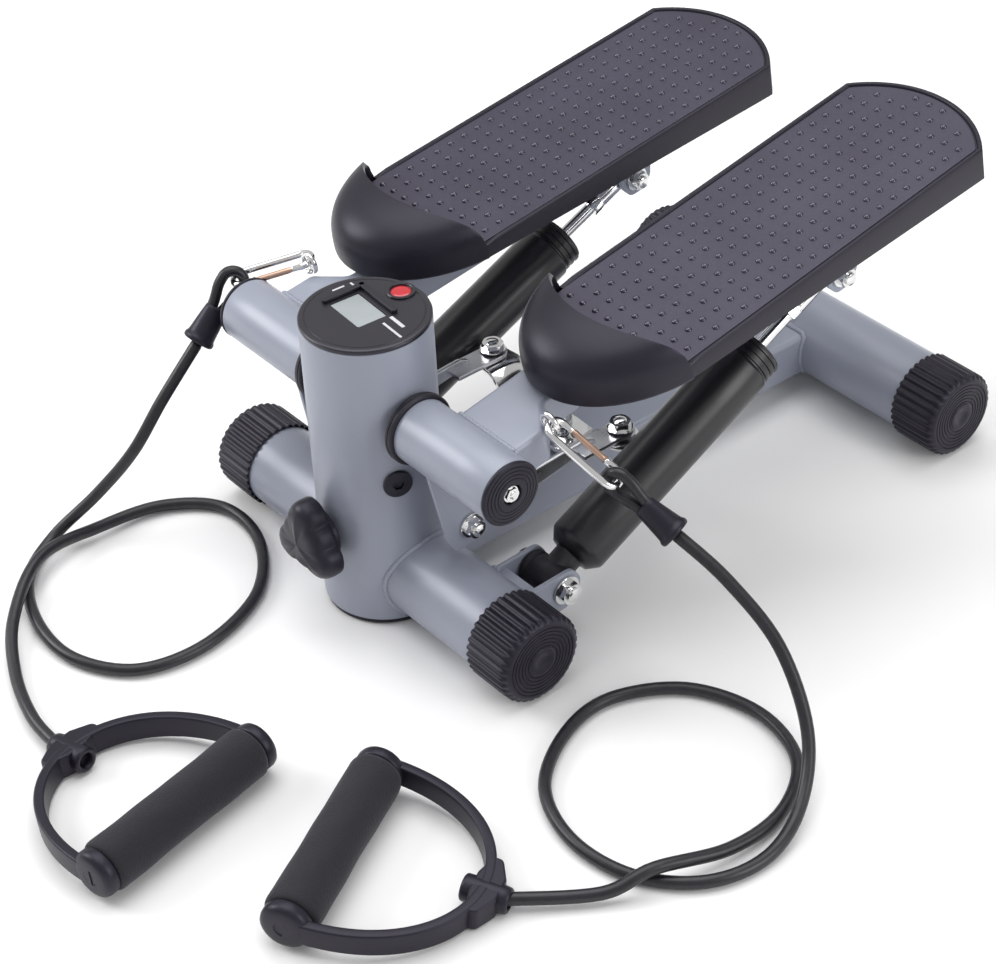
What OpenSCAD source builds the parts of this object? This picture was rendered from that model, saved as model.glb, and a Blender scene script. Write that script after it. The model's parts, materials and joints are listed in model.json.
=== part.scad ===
// Mini stepper: two pedals that tread against gas dampers on a round-tube frame,
// with a step counter on the post and a stretch band with a hand grip on each side.
// Millimetres. +Z is up, +Y runs from the post towards the rear crossbar, and
// the post's axis meets the floor at the origin.

/* [Frame] */
// Outer diameter of the upright post
post_d = 76; // [70:1:80]
// Height of the post's top edge above the floor
post_top = 193; // [190:1:200]
// Outer diameter of both crossbars
crossbar_d = 52; // [48:1:52]
// Length of each crossbar's bare tube
crossbar_len = 228; // [220:1:232]
// Distance from the post's axis to the rear crossbar's axis
rear_bar_y = 347.5; // [340:0.5:360]
// Width of the main beam
beam_w = 50; // [46:1:54]
// Height of the main beam's section
beam_h = 30; // [26:1:32]
// Diameter of a foot cap
foot_d = 56; // [54:1:57]

/* [Arms] */
// Height of the arms' pivot axis
pivot_z = 139; // [136:0.5:142]
// Outer diameter of the pivot sleeves
sleeve_d = 39; // [38:0.5:42]
// Slope of the right pedal as it stands
right_slope = 10.4; // [8:0.1:12]
// Slope of the left pedal as it stands
left_slope = 7.6; // [6:0.1:10]

/* [Pedals] */
// Width of a pedal
pedal_w = 110; // [100:1:112]
// Distance from the pivot to the pedal's rear tip
pedal_tip = 377; // [370:1:380]
// Distance from the machine's middle plane to a pedal's middle line
pedal_x = 89.5; // [89:0.5:92]

/* [Dampers] */
// Outer diameter of a damper's tube
damper_d = 37; // [34:0.5:38]
// Diameter of a damper's rod
damper_rod_d = 8; // [7:0.5:10]

/* [Bands] */
// Diameter of the stretch bands
band_d = 7.5; // [7:0.5:8]
// Outer diameter of the hand grips
grip_d = 31; // [28:1:32]

/* [Hidden] */
$fn = 48;

// Colours
paint = "#aeb4c6";
plastic = "#3c3a44";
slate = "#55525f";
foam = "#25242b";
chrome = "#c8c8c8";
steel = "#a0a4ac";
satin_black = "#222026";

RIGHT = 1;
LEFT = -1;

// Frame
post_r = post_d / 2;
post_wall = 2.5;
knob_z = 63;
post_bottom = 3;
bar_r = crossbar_d / 2;
bar_wall = 2;
bar_z = 28;
front_bar_y = 3;
beam_z = 12;
beam_wall = 2.5;
beam_top = beam_z + beam_h;
joint_gap = 0.15;
foot_x = 107.7;
foot_len = 34;
foot_ribs = 36;

// Pivot
axle_r = 8;
axle_fit = 0.06;
axle_half = 117;
sleeve_r = sleeve_d / 2;
sleeve_bore = 16.5;
sleeve_in = 44;
sleeve_out = 122.2;
boss_x = post_r + 1.3;

// Arm, in the arm's own frame: x as the machine's, u along the pedal, w square to it
arm_top = 9;
arm_bottom = -14;
arm_in = 60;
arm_out = 91;
arm_end = 301;
shield_out = 109;
lever_x = 59.2;
lever_t = 3;
lever_bolt_u = 5.5;
lever_bolt_w = -69;
bolt_r = 4;

// Rocker and links
rocker_y = 135;
rocker_reach = 58;
rocker_pin_r = 5;
rocker_end_z = 74.5;
rocker_low_z = 50;
rocker_t = 4;
link_t = 3;
tab_z = 75.7;
link_x = 55.8;
link_span = 118.8;

// Pedal
pedal_top = 20.2;
pedal_front = 118;
pedal_arc = 75;
pedal_plate = 4;
skirt_front = 10;
skirt_rear = 21;
cup_u = 132.8;
cup_w = 15.3;
cup_radii = [59, 77.4, 33];
cup_low = 8.7;
cup_wall = 3;
cup_power = 0.62;
cup_bow_r = 80;
cup_bow_u = 172;

// Dampers
damper_x = 92;
damper_low = [50, 33];
upper_u = 272.5;
upper_w = -41.5;
damper_low_r = 5;
damper_r = damper_d / 2;
damper_start = 18;
damper_end = 172;
collar_end = 186;
damper_bore = 15;

// Display
button_pos = [-3.4, 28.1];
lcd_pos = [-4.8, -1];
lcd_size = [28.5, 18.5];
lcd_turn = -4;

// Band hooks: the point where each hook hangs, and its direction
eye_pos = [112, 42, 14.5];
eye_r = 6;
eye_wire = 1.6;
hook_len = 50;
hook_half = 7;
hook_wire = 2.2;
gate_r = 1.9;
gate_from = 12.5;
gate_to = 36.5;
loop_r = 7;
loop_len = 42;
ferrule_len = 28;
right_hook_dir = [0, 34.2, 22.2];
right_loop_dir = right_hook_dir;
left_hook_dir = [0, 14, -124];
left_loop_dir = [30, 46, -92];
left_hook_shift = [-3, 4, 1];
left_loop_shift = [1, -1, 0];

// Handles: middle of each grip on the floor plane, direction to the cord
grip_half = 52;
grip_z = 16;
handle_reach = 85;
handle_half = 62;
handle_power = 0.9;
handle_bar = 6;
handle_bar_h = 14;
handle_tilt = 5.5;
right_grip = [167.5, -163.5];
right_grip_turn = 29;
left_grip = [89.5, -210.5];
left_grip_turn = 191;

// Routes of the stretch bands, from the ferrule on the loop to the handle
right_route = [[183, 68, 108], [214, 76, 91], [251, 80, 65], [285, 69, 33], [307, 43, 11],
               [318, 8, 4], [310, -28, 4], [281, -54, 4], [240, -61, 4], [200, -46, 4],
               [175, -10, 4], [170, 28, 4], [193, 66, 4], [235, 82, 4], [276, 71, 4],
               [299, 37, 4], [302, -4, 6], [291, -48, 13], [281, -76, 6], [251, -117, 7]];
left_route = [[-142, -28, 116], [-140, -58, 90], [-145, -80, 60], [-160, -101, 30],
              [-169, -131, 7], [-148, -162, 4], [-108, -180, 4], [-66, -181, 4],
              [-32, -158, 4], [-24, -115, 4], [-42, -67, 4], [-82, -37, 4],
              [-125, -34, 4], [-153, -62, 4], [-158, -105, 7], [-148, -152, 15],
              [-116, -191, 9], [-77, -214, 5], [-36, -227, 6], [-4, -229, 7]];
ring_sides = 8;
rings_per_step = 2;

// ---------------------------------------------------------------- functions
function slope(side) = side == RIGHT ? right_slope : left_slope;

// A point (u, w) of an arm in the machine's (y, z)
function arm_yz(side, u, w) = [u * cos(slope(side)) - w * sin(slope(side)),
                               pivot_z + u * sin(slope(side)) + w * cos(slope(side))];

function lever_yz(side) = arm_yz(side, lever_bolt_u, lever_bolt_w);
function upper_yz(side) = arm_yz(side, upper_u, upper_w);
function damper_run(side) = upper_yz(side) - damper_low;
function damper_angle(side) = atan2(damper_run(side)[1], damper_run(side)[0]);
function damper_len(side) = norm(damper_run(side));

rocker_angle = asin((lever_yz(RIGHT)[0] - lever_yz(LEFT)[0]) / 2 / rocker_reach);
function rocker_end_y(side) = rocker_y + side * rocker_reach * sin(rocker_angle);

function eye_yz(side) = arm_yz(side, eye_pos[1], eye_pos[2]);
function hook_dir(side) = side == RIGHT ? right_hook_dir : left_hook_dir;
function loop_dir(side) = side == RIGHT ? right_loop_dir : left_loop_dir;

// Unit vector that [1, 0, 0] becomes under rotate([0, pitch, yaw])
function heading(dir) = [cos(dir[1]) * cos(dir[2]), cos(dir[1]) * sin(dir[2]), -sin(dir[1])];
function only_left(side, shift) = side == LEFT ? shift : [0, 0, 0];
function hook_start(side) = [side * eye_pos[0], eye_yz(side)[0], eye_yz(side)[1]]
                            + only_left(side, left_hook_shift);
function hook_end(side) = hook_start(side) + hook_len * heading(hook_dir(side));
function loop_start(side) = hook_end(side) + only_left(side, left_loop_shift);

// Catmull-Rom point between the route's points i and i + 1
function route_at(p, i, t) =
    let (n = len(p) - 1,
         a = p[max(i - 1, 0)],
         b = p[i],
         c = p[min(i + 1, n)],
         d = p[min(i + 2, n)])
    0.5 * (2 * b + (c - a) * t + (2 * a - 5 * b + 4 * c - d) * t * t
           + (3 * b - a - 3 * c + d) * t * t * t);

function smooth_route(p) =
    concat([for (i = [0 : len(p) - 2]) for (k = [0 : rings_per_step - 1])
                route_at(p, i, k / rings_per_step)],
           [p[len(p) - 1]]);

function unit(v) = v / norm(v);
function tangent(p, i) = unit(p[min(i + 1, len(p) - 1)] - p[max(i - 1, 0)]);

// Ring of a tube about point i, square to the route
function ring(p, i, r, sides) =
    let (t = tangent(p, i),
         a = unit(cross(t, [0, 0, 1])),
         b = cross(a, t))
    [for (k = [0 : sides - 1]) p[i] + r * (cos(360 * k / sides) * a + sin(360 * k / sides) * b)];

function sgn_pow(v, e) = sign(v) * pow(abs(v), e);

// ------------------------------------------------------------ shape helpers
// Cylinder along X from x0 to x1
module along_x(x0, x1, r, fn = $fn)
    translate([x0, 0, 0])
        rotate([0, 90, 0])
            cylinder(h = x1 - x0, r = r, $fn = fn);

// Cylinder along Y from y0 to y1
module along_y(y0, y1, r, fn = $fn)
    translate([0, y0, 0])
        rotate([-90, 0, 0])
            cylinder(h = y1 - y0, r = r, $fn = fn);

// Outline in (y, z), extruded along X from x0 to x1
module plate_x(x0, x1, points)
    translate([x0, 0, 0])
        rotate([90, 0, 90])
            linear_extrude(x1 - x0)
                polygon(points);

// Box from corner a to corner b
module box(a, b)
    translate(a)
        cube(b - a);

// Puts children given in an arm's frame where that arm stands
module on_arm(side)
    translate([0, 0, pivot_z])
        rotate([slope(side), 0, 0])
            scale_side(side)
                children();

module scale_side(side)
    if (side == RIGHT)
        children();
    else
        mirror([1, 0, 0])
            children();

// Puts children, drawn along +X from the lower pivot, on a damper's line
module on_damper(side)
    translate([side * damper_x, damper_low[0], damper_low[1]])
        rotate([0, 0, 90])
            rotate([0, -damper_angle(side), 0])
                children();

module scale_y(side)
    if (side == RIGHT)
        children();
    else
        mirror([0, 1, 0])
            children();

// Puts children, drawn along +X, on the line of a band hook or loop
module aimed(start, dir)
    translate(start)
        rotate(dir)
            children();

// Half of a wire ring of radius r in the XY plane, on its -X side
module half_ring(r, wire)
    rotate([0, 0, 90])
        rotate_extrude(angle = 180)
            translate([r, 0])
                circle(r = wire, $fn = 24);

module hex_bolt_head(h, r)
    cylinder(h = h, r = r, $fn = 6);

// Nut with a washer face, axis along +X from 0
module flange_nut(h, r)
    union() {
        along_x(0, 1.6, r + 1.6);
        along_x(1.6, h, r, 6);
    }

// Tube swept along a route of points
module swept_tube(p, r, sides) {
    n = len(p);
    points = [for (i = [0 : n - 1]) each ring(p, i, r, sides)];
    walls = [for (i = [0 : n - 2]) for (k = [0 : sides - 1])
                 [i * sides + k, i * sides + (k + 1) % sides,
                  (i + 1) * sides + (k + 1) % sides, (i + 1) * sides + k]];
    first = [for (k = [sides - 1 : -1 : 0]) k];
    last = [for (k = [0 : sides - 1]) (n - 1) * sides + k];
    polyhedron(points, concat(walls, [first, last]));
}

// --------------------------------------------------------------------- frame
module crossbar(y)
    translate([0, y, bar_z])
        difference() {
            along_x(-crossbar_len / 2, crossbar_len / 2, bar_r);
            along_x(-crossbar_len / 2 - 1, crossbar_len / 2 + 1, bar_r - bar_wall);
        }

module front_crossbar()
    color(paint)
        crossbar(front_bar_y);

module rear_crossbar()
    color(paint)
        crossbar(rear_bar_y);

module main_beam()
    color(paint)
        difference() {
            box([-beam_w / 2, 20, beam_z], [beam_w / 2, rear_bar_y, beam_top]);
            box([-beam_w / 2 + beam_wall, 19, beam_z + beam_wall],
                [beam_w / 2 - beam_wall, rear_bar_y + 1, beam_top - beam_wall]);
            cylinder(h = 100, r = post_r + joint_gap);
            translate([0, front_bar_y, bar_z])
                along_x(-60, 60, bar_r + joint_gap);
            translate([0, rear_bar_y, bar_z])
                along_x(-60, 60, bar_r + joint_gap);
        }

module post()
    color(paint)
        difference() {
            union() {
                translate([0, 0, post_bottom])
                    cylinder(h = post_top - post_bottom, r = post_r);
                translate([0, 0, pivot_z])
                    along_x(-boss_x, boss_x, 14);
            }
            translate([0, 0, -1])
                cylinder(h = post_top + 2, r = post_r - post_wall);
            translate([0, 0, pivot_z])
                along_x(-60, 60, axle_r + 0.1);
            translate([0, front_bar_y, bar_z])
                along_x(-60, 60, bar_r + joint_gap);
            knob_place()
                along_y(-10, 10, 5.2);
            sensor_place()
                along_x(-10, 10, 7);
        }

module base_plug()
    color(plastic)
        difference() {
            cylinder(h = post_bottom - 0.1, r = post_r - 1);
            translate([0, front_bar_y, bar_z])
                along_x(-60, 60, bar_r + joint_gap);
        }

// Foot cap on the +X end of the front crossbar, closed at its outer face
module foot_cap() {
    rib_r = foot_d / 2 + 0.3;
    difference() {
        union() {
            along_x(0, foot_len - 1, foot_d / 2 - 1);
            for (k = [0 : foot_ribs - 1])
                rotate([k * 360 / foot_ribs, 0, 0])
                    box([0, -1.2, foot_d / 2 - 2], [foot_len - 3, 1.2, rib_r]);
            along_x(foot_len - 1.5, foot_len, foot_d / 2 - 4);
            along_x(foot_len - 0.5, foot_len + 0.6, 9);
        }
        along_x(-1, foot_len - 4, bar_r + joint_gap);
        translate([foot_len - 0.7, 0, 0])
            difference() {
                along_x(0, 2, 20);
                along_x(-1, 3, 17);
            }
        box([-1, -40, -bar_z - 5], [foot_len + 5, 40, -bar_z]);
    }
}

module foot(side, y)
    color(plastic)
        translate([0, y, bar_z])
            scale_side(side)
                translate([foot_x, 0, 0])
                    foot_cap();

module right_front_foot() foot(RIGHT, front_bar_y);
module left_front_foot() foot(LEFT, front_bar_y);
module right_rear_foot() foot(RIGHT, rear_bar_y);
module left_rear_foot() foot(LEFT, rear_bar_y);

// Bracket that carries a damper's lower eye, welded behind the front crossbar
module damper_bracket(side)
    color(paint)
        scale_side(side)
            difference() {
                union() {
                    for (x = [damper_x - 18.5, damper_x + 12])
                        plate_x(x, x + 3, [[22, 16], [22, 44], [40, 44], [50, 45],
                                           [58, 42], [62, 34], [60, 25], [52, 21], [40, 18]]);
                    box([damper_x - 18.5, 24, 18], [damper_x + 15, 31, 42]);
                }
                translate([0, front_bar_y, bar_z])
                    along_x(60, 120, bar_r + joint_gap);
                translate([0, damper_low[0], damper_low[1]])
                    along_x(60, 120, damper_low_r + 0.1);
            }

module right_damper_bracket() damper_bracket(RIGHT);
module left_damper_bracket() damper_bracket(LEFT);

module bracket_bolts()
    color(chrome)
        for (side = [RIGHT, LEFT])
            scale_side(side)
                translate([damper_x, damper_low[0], damper_low[1]]) {
                    along_x(-22, 21, damper_low_r);
                    along_x(-24, -18.9, 8, 6);
                    translate([15.3, 0, 0])
                        flange_nut(6, 7.6);
                }

// -------------------------------------------------------------------- pivot
module pivot_axle()
    color(steel)
        translate([0, 0, pivot_z])
            along_x(-axle_half, axle_half, axle_r);

module axle_nuts()
    color(chrome)
        translate([0, 0, pivot_z])
            for (side = [RIGHT, LEFT])
                scale_side(side)
                    translate([axle_half, 0, 0])
                        union() {
                            along_x(0, 6, 7.4, 6);
                            along_x(6, 8, 4);
                        }

module sleeve_bushes(side)
    color(satin_black)
        on_arm(side)
            union() {
                difference() {
                    union() {
                        along_x(boss_x + 0.2, sleeve_in, sleeve_r + 1);
                        along_x(sleeve_in, sleeve_in + 18, sleeve_bore - 0.05);
                    }
                    along_x(20, 130, axle_r + axle_fit);
                }
                difference() {
                    along_x(95, 113, sleeve_bore - 0.05);
                    along_x(90, 130, axle_r + axle_fit);
                }
            }

module right_sleeve_bushes() sleeve_bushes(RIGHT);
module left_sleeve_bushes() sleeve_bushes(LEFT);

module sleeve_cap(side)
    color(plastic)
        on_arm(side)
            difference() {
                union() {
                    along_x(114, sleeve_out, sleeve_bore - 0.05);
                    along_x(sleeve_out, sleeve_out + 1.8, sleeve_r - 0.8);
                }
                along_x(110, 130, 8.9);
            }

module right_sleeve_cap() sleeve_cap(RIGHT);
module left_sleeve_cap() sleeve_cap(LEFT);

// --------------------------------------------------------------------- arms
module arm_outline()
    polygon([[arm_in, 10], [arm_in, arm_end], [arm_out, arm_end], [arm_out, 54],
             [shield_out, 40], [shield_out, 10]]);

module arm(side)
    color(paint)
        on_arm(side)
            difference() {
                union() {
                    along_x(sleeve_in, sleeve_out, sleeve_r);
                    translate([0, 0, arm_bottom])
                        linear_extrude(arm_top - arm_bottom)
                            arm_outline();
                    // lever down to the link
                    plate_x(lever_x, lever_x + lever_t,
                            [[-13, -12], [-11.5, -72], [-7, -79], [0, -82], [11, -82],
                             [17, -79], [20, -72], [20, -12]]);
                    // ears for the damper's rod
                    for (x = [damper_x - 10, damper_x + 7])
                        plate_x(x, x + 3,
                                [[256, arm_bottom], [290, arm_bottom], [284, -44], [280, -50],
                                 [273, -53], [266, -50], [262, -44]]);
                    box([damper_x - 10, 256, arm_bottom - 3], [damper_x + 10, 290, arm_bottom + 1]);
                }
                along_x(sleeve_in - 1, sleeve_out + 1, sleeve_bore);
                box([arm_in + 2.5, 24, arm_bottom + 2.5], [arm_out - 2.5, arm_end - 2.5, arm_top - 2.5]);
                translate([0, lever_bolt_u, lever_bolt_w])
                    along_x(50, 70, bolt_r + 0.1);
                translate([0, upper_u, upper_w])
                    along_x(75, 110, bolt_r + 0.1);
                for (u = [150, 220, 290])
                    translate([(arm_in + arm_out) / 2, u, -30])
                        cylinder(h = 60, r = 3.1);
            }

module right_arm() arm(RIGHT);
module left_arm() arm(LEFT);

module lever_bolt(side)
    color(chrome)
        on_arm(side)
            translate([0, lever_bolt_u, lever_bolt_w])
                union() {
                    along_x(52, 71, bolt_r);
                    along_x(51, 55.4, 7, 6);
                    translate([lever_x + lever_t + 0.1, 0, 0])
                        flange_nut(6.5, 6.6);
                }

module right_lever_bolt() lever_bolt(RIGHT);
module left_lever_bolt() lever_bolt(LEFT);

// Bolt that holds a damper's rod; its nut is on the +X side on both arms
module upper_bolt(side)
    color(chrome)
        translate([side * damper_x, upper_yz(side)[0], upper_yz(side)[1]])
            union() {
                along_x(-15, 17, bolt_r);
                along_x(-15, -10.2, 6.8, 6);
                translate([10.2, 0, 0])
                    flange_nut(6, 6.4);
            }

module right_upper_bolt() upper_bolt(RIGHT);
module left_upper_bolt() upper_bolt(LEFT);

// ---------------------------------------------------------- rocker and links
module rocker_post()
    color(steel)
        translate([0, rocker_y, beam_top])
            union() {
                cylinder(h = 22, r = rocker_pin_r);
                cylinder(h = 3.8, r = 14);
                translate([0, 0, 15])
                    hex_bolt_head(6, 9);
            }

// The rocker's middle sits low on the beam and its ends rise to the links
module rocker_bar()
    color(chrome)
        translate([0, rocker_y, 0])
            rotate([0, 0, rocker_angle])
                difference() {
                    union() {
                        intersection() {
                            translate([0, 30, 0])
                                rotate([90, 0, 0])
                                    linear_extrude(60)
                                        polygon(rocker_profile());
                            linear_extrude(100)
                                union() {
                                    circle(r = 18);
                                    for (x = [-rocker_reach, rocker_reach])
                                        translate([x, 0])
                                            circle(r = 12);
                                    polygon([[-rocker_reach, -12], [-8, -16.5], [8, -16.5],
                                             [rocker_reach, -12], [rocker_reach, 12],
                                             [8, 16.5], [-8, 16.5], [-rocker_reach, 12]]);
                                }
                        }
                        translate([0, 0, rocker_low_z - rocker_t])
                            cylinder(h = 10.5, r = 10);
                    }
                    cylinder(h = 100, r = rocker_pin_r + axle_fit);
                    for (x = [-rocker_reach, rocker_reach])
                        translate([x, 0, 60])
                            cylinder(h = 30, r = bolt_r + 0.05);
                }

function rocker_profile() =
    [[-72, rocker_end_z], [-45, rocker_end_z], [-20, rocker_low_z], [20, rocker_low_z],
     [45, rocker_end_z], [72, rocker_end_z], [72, rocker_end_z - rocker_t],
     [47, rocker_end_z - rocker_t], [22, rocker_low_z - rocker_t],
     [-22, rocker_low_z - rocker_t], [-47, rocker_end_z - rocker_t],
     [-72, rocker_end_z - rocker_t]];

module rocker_bolts()
    color(chrome)
        translate([0, rocker_y, 0])
            rotate([0, 0, rocker_angle])
                for (x = [-rocker_reach, rocker_reach])
                    translate([x, 0, rocker_end_z - rocker_t])
                        union() {
                            translate([0, 0, -2])
                                cylinder(h = 17, r = bolt_r);
                            translate([0, 0, -4.2])
                                hex_bolt_head(4, 7);
                            translate([0, 0, 9.4])
                                hex_bolt_head(4.6, 7);
                        }

module link(side) {
    front = lever_yz(side);
    rear_y = rocker_end_y(side);
    color(steel)
        difference() {
            union() {
                scale_side(side)
                    plate_x(link_x, link_x + link_t,
                            [[front[0] - 8, front[1] - 5], [front[0] - 4, front[1] - 8.5],
                             [front[0] + 5, front[1] - 8.5], [rear_y - 36, tab_z],
                             [rear_y - 20, tab_z], [rear_y - 20, tab_z + 5],
                             [rear_y - 26, tab_z + 9], [front[0] + 4, front[1] + 8.5],
                             [front[0] - 4, front[1] + 8], [front[0] - 8, front[1] + 4]]);
                translate([side * rocker_reach, rear_y, tab_z])
                    cylinder(h = link_t, r = 9);
                scale_side(side)
                    box([rocker_reach - 9, rear_y - 34, tab_z],
                        [rocker_reach + 7, rear_y, tab_z + link_t]);
            }
            translate([side * rocker_reach, rear_y, tab_z - 5])
                cylinder(h = 15, r = bolt_r + 1.6);
            scale_side(side)
                translate([0, front[0], front[1]])
                    along_x(50, 70, bolt_r + axle_fit);
        }
}

module right_link() link(RIGHT);
module left_link() link(LEFT);

// -------------------------------------------------------------------- pedals
// Pedal outline with every edge moved in by inset
module pedal_outline(inset) {
    half = pedal_w / 2 - inset;
    arc_u = pedal_tip - pedal_arc;
    translate([pedal_x, 0])
        union() {
            translate([-half, pedal_front + inset])
                square([2 * half, arc_u - pedal_front - inset + 1]);
            intersection() {
                translate([0, arc_u])
                    circle(r = pedal_arc - inset, $fn = 96);
                translate([-half, arc_u])
                    square([2 * half, pedal_arc]);
            }
        }
}

module pedal(side)
    color(slate)
        on_arm(side)
            union() {
                difference() {
                    translate([0, 0, -2])
                        linear_extrude(pedal_top + 2 + 1)
                            pedal_outline(0);
                    // leaves a low rim round the tread
                    translate([0, 0, pedal_top])
                        linear_extrude(5)
                            pedal_outline(2.5);
                    translate([0, 0, -5])
                        linear_extrude(pedal_top - pedal_plate + 5)
                            pedal_outline(3);
                    // the skirt deepens towards the rear
                    plate_x(20, 160, [[pedal_front - 2, pedal_top - skirt_front],
                                      [350, pedal_top - skirt_rear],
                                      [400, pedal_top - skirt_rear],
                                      [400, -30], [pedal_front - 2, -30]]);
                }
                // tongue that runs forward under the toe cup
                translate([pedal_x, 0, pedal_top - 3.5])
                    linear_extrude(3.5)
                        polygon([[-47, 97], [47, 97], [51, 108], [53, pedal_front],
                                 [53, pedal_front + 1], [-53, pedal_front + 1],
                                 [-53, pedal_front], [-51, 108]]);
                // pads that rest on the arm
                difference() {
                    for (u = [136, 206, 276])
                        box([arm_in + 1, u, arm_top + 0.1],
                            [arm_out - 1, u + 28, pedal_top - pedal_plate + 0.5]);
                    for (u = [150, 220, 290])
                        translate([(arm_in + arm_out) / 2, u, 0])
                            cylinder(h = pedal_top - pedal_plate, r = 3.05);
                }
            }

module right_pedal() pedal(RIGHT);
module left_pedal() pedal(LEFT);

// Closed dome about the cup's middle, an ellipse in plan, shallower below than above
module cup_solid(inset) {
    rows = 14;
    cols = 28;
    r = cup_radii - [inset, inset, inset];
    low = cup_low - inset;
    e = cup_power;
    ring_points = [for (i = [1 : rows - 1]) for (j = [0 : cols - 1])
        let (lat = -90 + 180 * i / rows, lon = 360 * j / cols)
        [r[0] * sgn_pow(cos(lat), e) * cos(lon),
         r[1] * sgn_pow(cos(lat), e) * sin(lon),
         (lat < 0 ? low : r[2]) * sgn_pow(sin(lat), e)]];
    points = concat([[0, 0, -low]], ring_points, [[0, 0, r[2]]]);
    top = len(points) - 1;
    low_fan = [for (j = [0 : cols - 1]) [0, 1 + j, 1 + (j + 1) % cols]];
    high_fan = [for (j = [0 : cols - 1])
        [top, top - cols + (j + 1) % cols, top - cols + j]];
    walls = [for (i = [0 : rows - 3]) for (j = [0 : cols - 1])
        [1 + i * cols + j, 1 + (i + 1) * cols + j,
         1 + (i + 1) * cols + (j + 1) % cols, 1 + i * cols + (j + 1) % cols]];
    polyhedron(points, concat(low_fan, walls, high_fan));
}

module toe_cup(side)
    color(plastic)
        on_arm(side)
            difference() {
                translate([pedal_x, cup_u, cup_w])
                    difference() {
                        cup_solid(0);
                        cup_solid(cup_wall);
                    }
                // open to the rear, and bowed forward above the tread
                box([20, pedal_front - 0.2, -60], [160, 240, 60]);
                translate([pedal_x, cup_bow_u, pedal_top + 1])
                    cylinder(h = 40, r = cup_bow_r);
                // slot that drops over the arm
                box([arm_in - 0.4, 30, -60], [arm_out + 0.4, 130, arm_top + 1.2]);
            }

module right_toe_cup() toe_cup(RIGHT);
module left_toe_cup() toe_cup(LEFT);

module pedal_screws(side)
    color(steel)
        on_arm(side)
            for (u = [150, 220, 290])
                translate([(arm_in + arm_out) / 2, u, arm_bottom - 3])
                    union() {
                        cylinder(h = 2.9, r = 5.5);
                        cylinder(h = pedal_top - pedal_plate - arm_bottom + 1, r = 3);
                    }

module right_pedal_screws() pedal_screws(RIGHT);
module left_pedal_screws() pedal_screws(LEFT);

// ------------------------------------------------------------------- dampers
module damper_body(side)
    color(satin_black)
        on_damper(side)
            difference() {
                union() {
                    scale_y(side)
                        along_y(-11.7, 14.9, 11);
                    along_x(0, damper_start + 1, 9);
                    translate([damper_start, 0, 0])
                        rotate([0, 90, 0])
                            cylinder(h = 7, r1 = 13, r2 = damper_r);
                    along_x(damper_start + 7, damper_end, damper_r);
                    along_x(damper_end, collar_end, damper_r - 1.8);
                    for (s = [174, 178, 182])
                        along_x(s, s + 2, damper_r - 1);
                }
                along_y(-20, 20, damper_low_r + axle_fit);
                along_x(34, collar_end - 6, damper_bore);
                along_x(100, collar_end + 1, damper_rod_d / 2 + axle_fit);
            }

module right_damper_body() damper_body(RIGHT);
module left_damper_body() damper_body(LEFT);

module damper_rod(side) {
    reach = damper_len(side);
    color(chrome)
        on_damper(side)
            difference() {
                union() {
                    along_x(100, reach - 4, damper_rod_d / 2);
                    along_x(100, 112, damper_bore - axle_fit);
                    along_x(collar_end + 26, reach - 4, 6, 6);
                    translate([reach, 0, 0])
                        along_y(-6.5, 6.5, 10);
                }
                translate([reach, 0, 0])
                    along_y(-10, 10, bolt_r + 2);
            }
}

module right_damper_rod() damper_rod(RIGHT);
module left_damper_rod() damper_rod(LEFT);

// ------------------------------------------------------------------- display
module lcd_window(grow)
    translate([lcd_pos[0], lcd_pos[1], 0])
        rotate([0, 0, lcd_turn])
            square([lcd_size[0] + 2 * grow, lcd_size[1] + 2 * grow], center = true);

module display_housing()
    color(plastic)
        translate([0, 0, post_top])
            difference() {
                union() {
                    translate([0, 0, 0.1])
                        cylinder(h = 1.9, r = post_r);
                    translate([0, 0, 2])
                        cylinder(h = 0.8, r1 = post_r, r2 = post_r - 0.8);
                    translate([0, 0, -12])
                        cylinder(h = 13, r = post_r - post_wall - 0.1);
                    translate(button_pos)
                        cylinder(h = 4, r = 8.6);
                }
                translate([0, 0, -13])
                    linear_extrude(11)
                        lcd_window(2);
                translate([0, 0, 1.2])
                    linear_extrude(5)
                        lcd_window(0.1);
                translate([0, 0, -3])
                    linear_extrude(5)
                        lcd_window(-1.5);
                translate([button_pos[0], button_pos[1], 0])
                    cylinder(h = 10, r = 6.5);
                translate([button_pos[0], button_pos[1], -13])
                    cylinder(h = 20, r = 2.56);
            }

module display_bezel()
    color(satin_black)
        translate([0, 0, post_top + 2.9])
            linear_extrude(1.2)
                rotate([0, 0, lcd_turn])
                    union() {
                        translate([-24.5, -13])
                            square([2.4, 27]);
                        translate([-24.5, 12])
                            square([35.5, 2.2]);
                    }

module lcd_panel()
    color("#9aa0a4")
        translate([0, 0, post_top + 1.25])
            linear_extrude(1.3)
                lcd_window(0);

module red_button()
    color("#b01822")
        translate([button_pos[0], button_pos[1], post_top])
            union() {
                translate([0, 0, 2.3])
                    intersection() {
                        cylinder(h = 6, r = 6.2);
                        translate([0, 0, -9])
                            sphere(r = 12.2);
                    }
                translate([0, 0, -7])
                    cylinder(h = 10, r = 2.5);
            }

module sensor_place()
    translate([0, 0, 103])
        rotate([0, 0, -19])
            translate([post_r, 0, 0])
                children();

module sensor_plug()
    color(plastic)
        sensor_place()
            difference() {
                union() {
                    along_x(0.1, 2.2, 8.75);
                    along_x(-8, 1, 6.9);
                }
                along_x(0.6, 5, 3.4, 6);
            }

module knob_place()
    translate([0, -post_r, knob_z])
        children();

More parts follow.
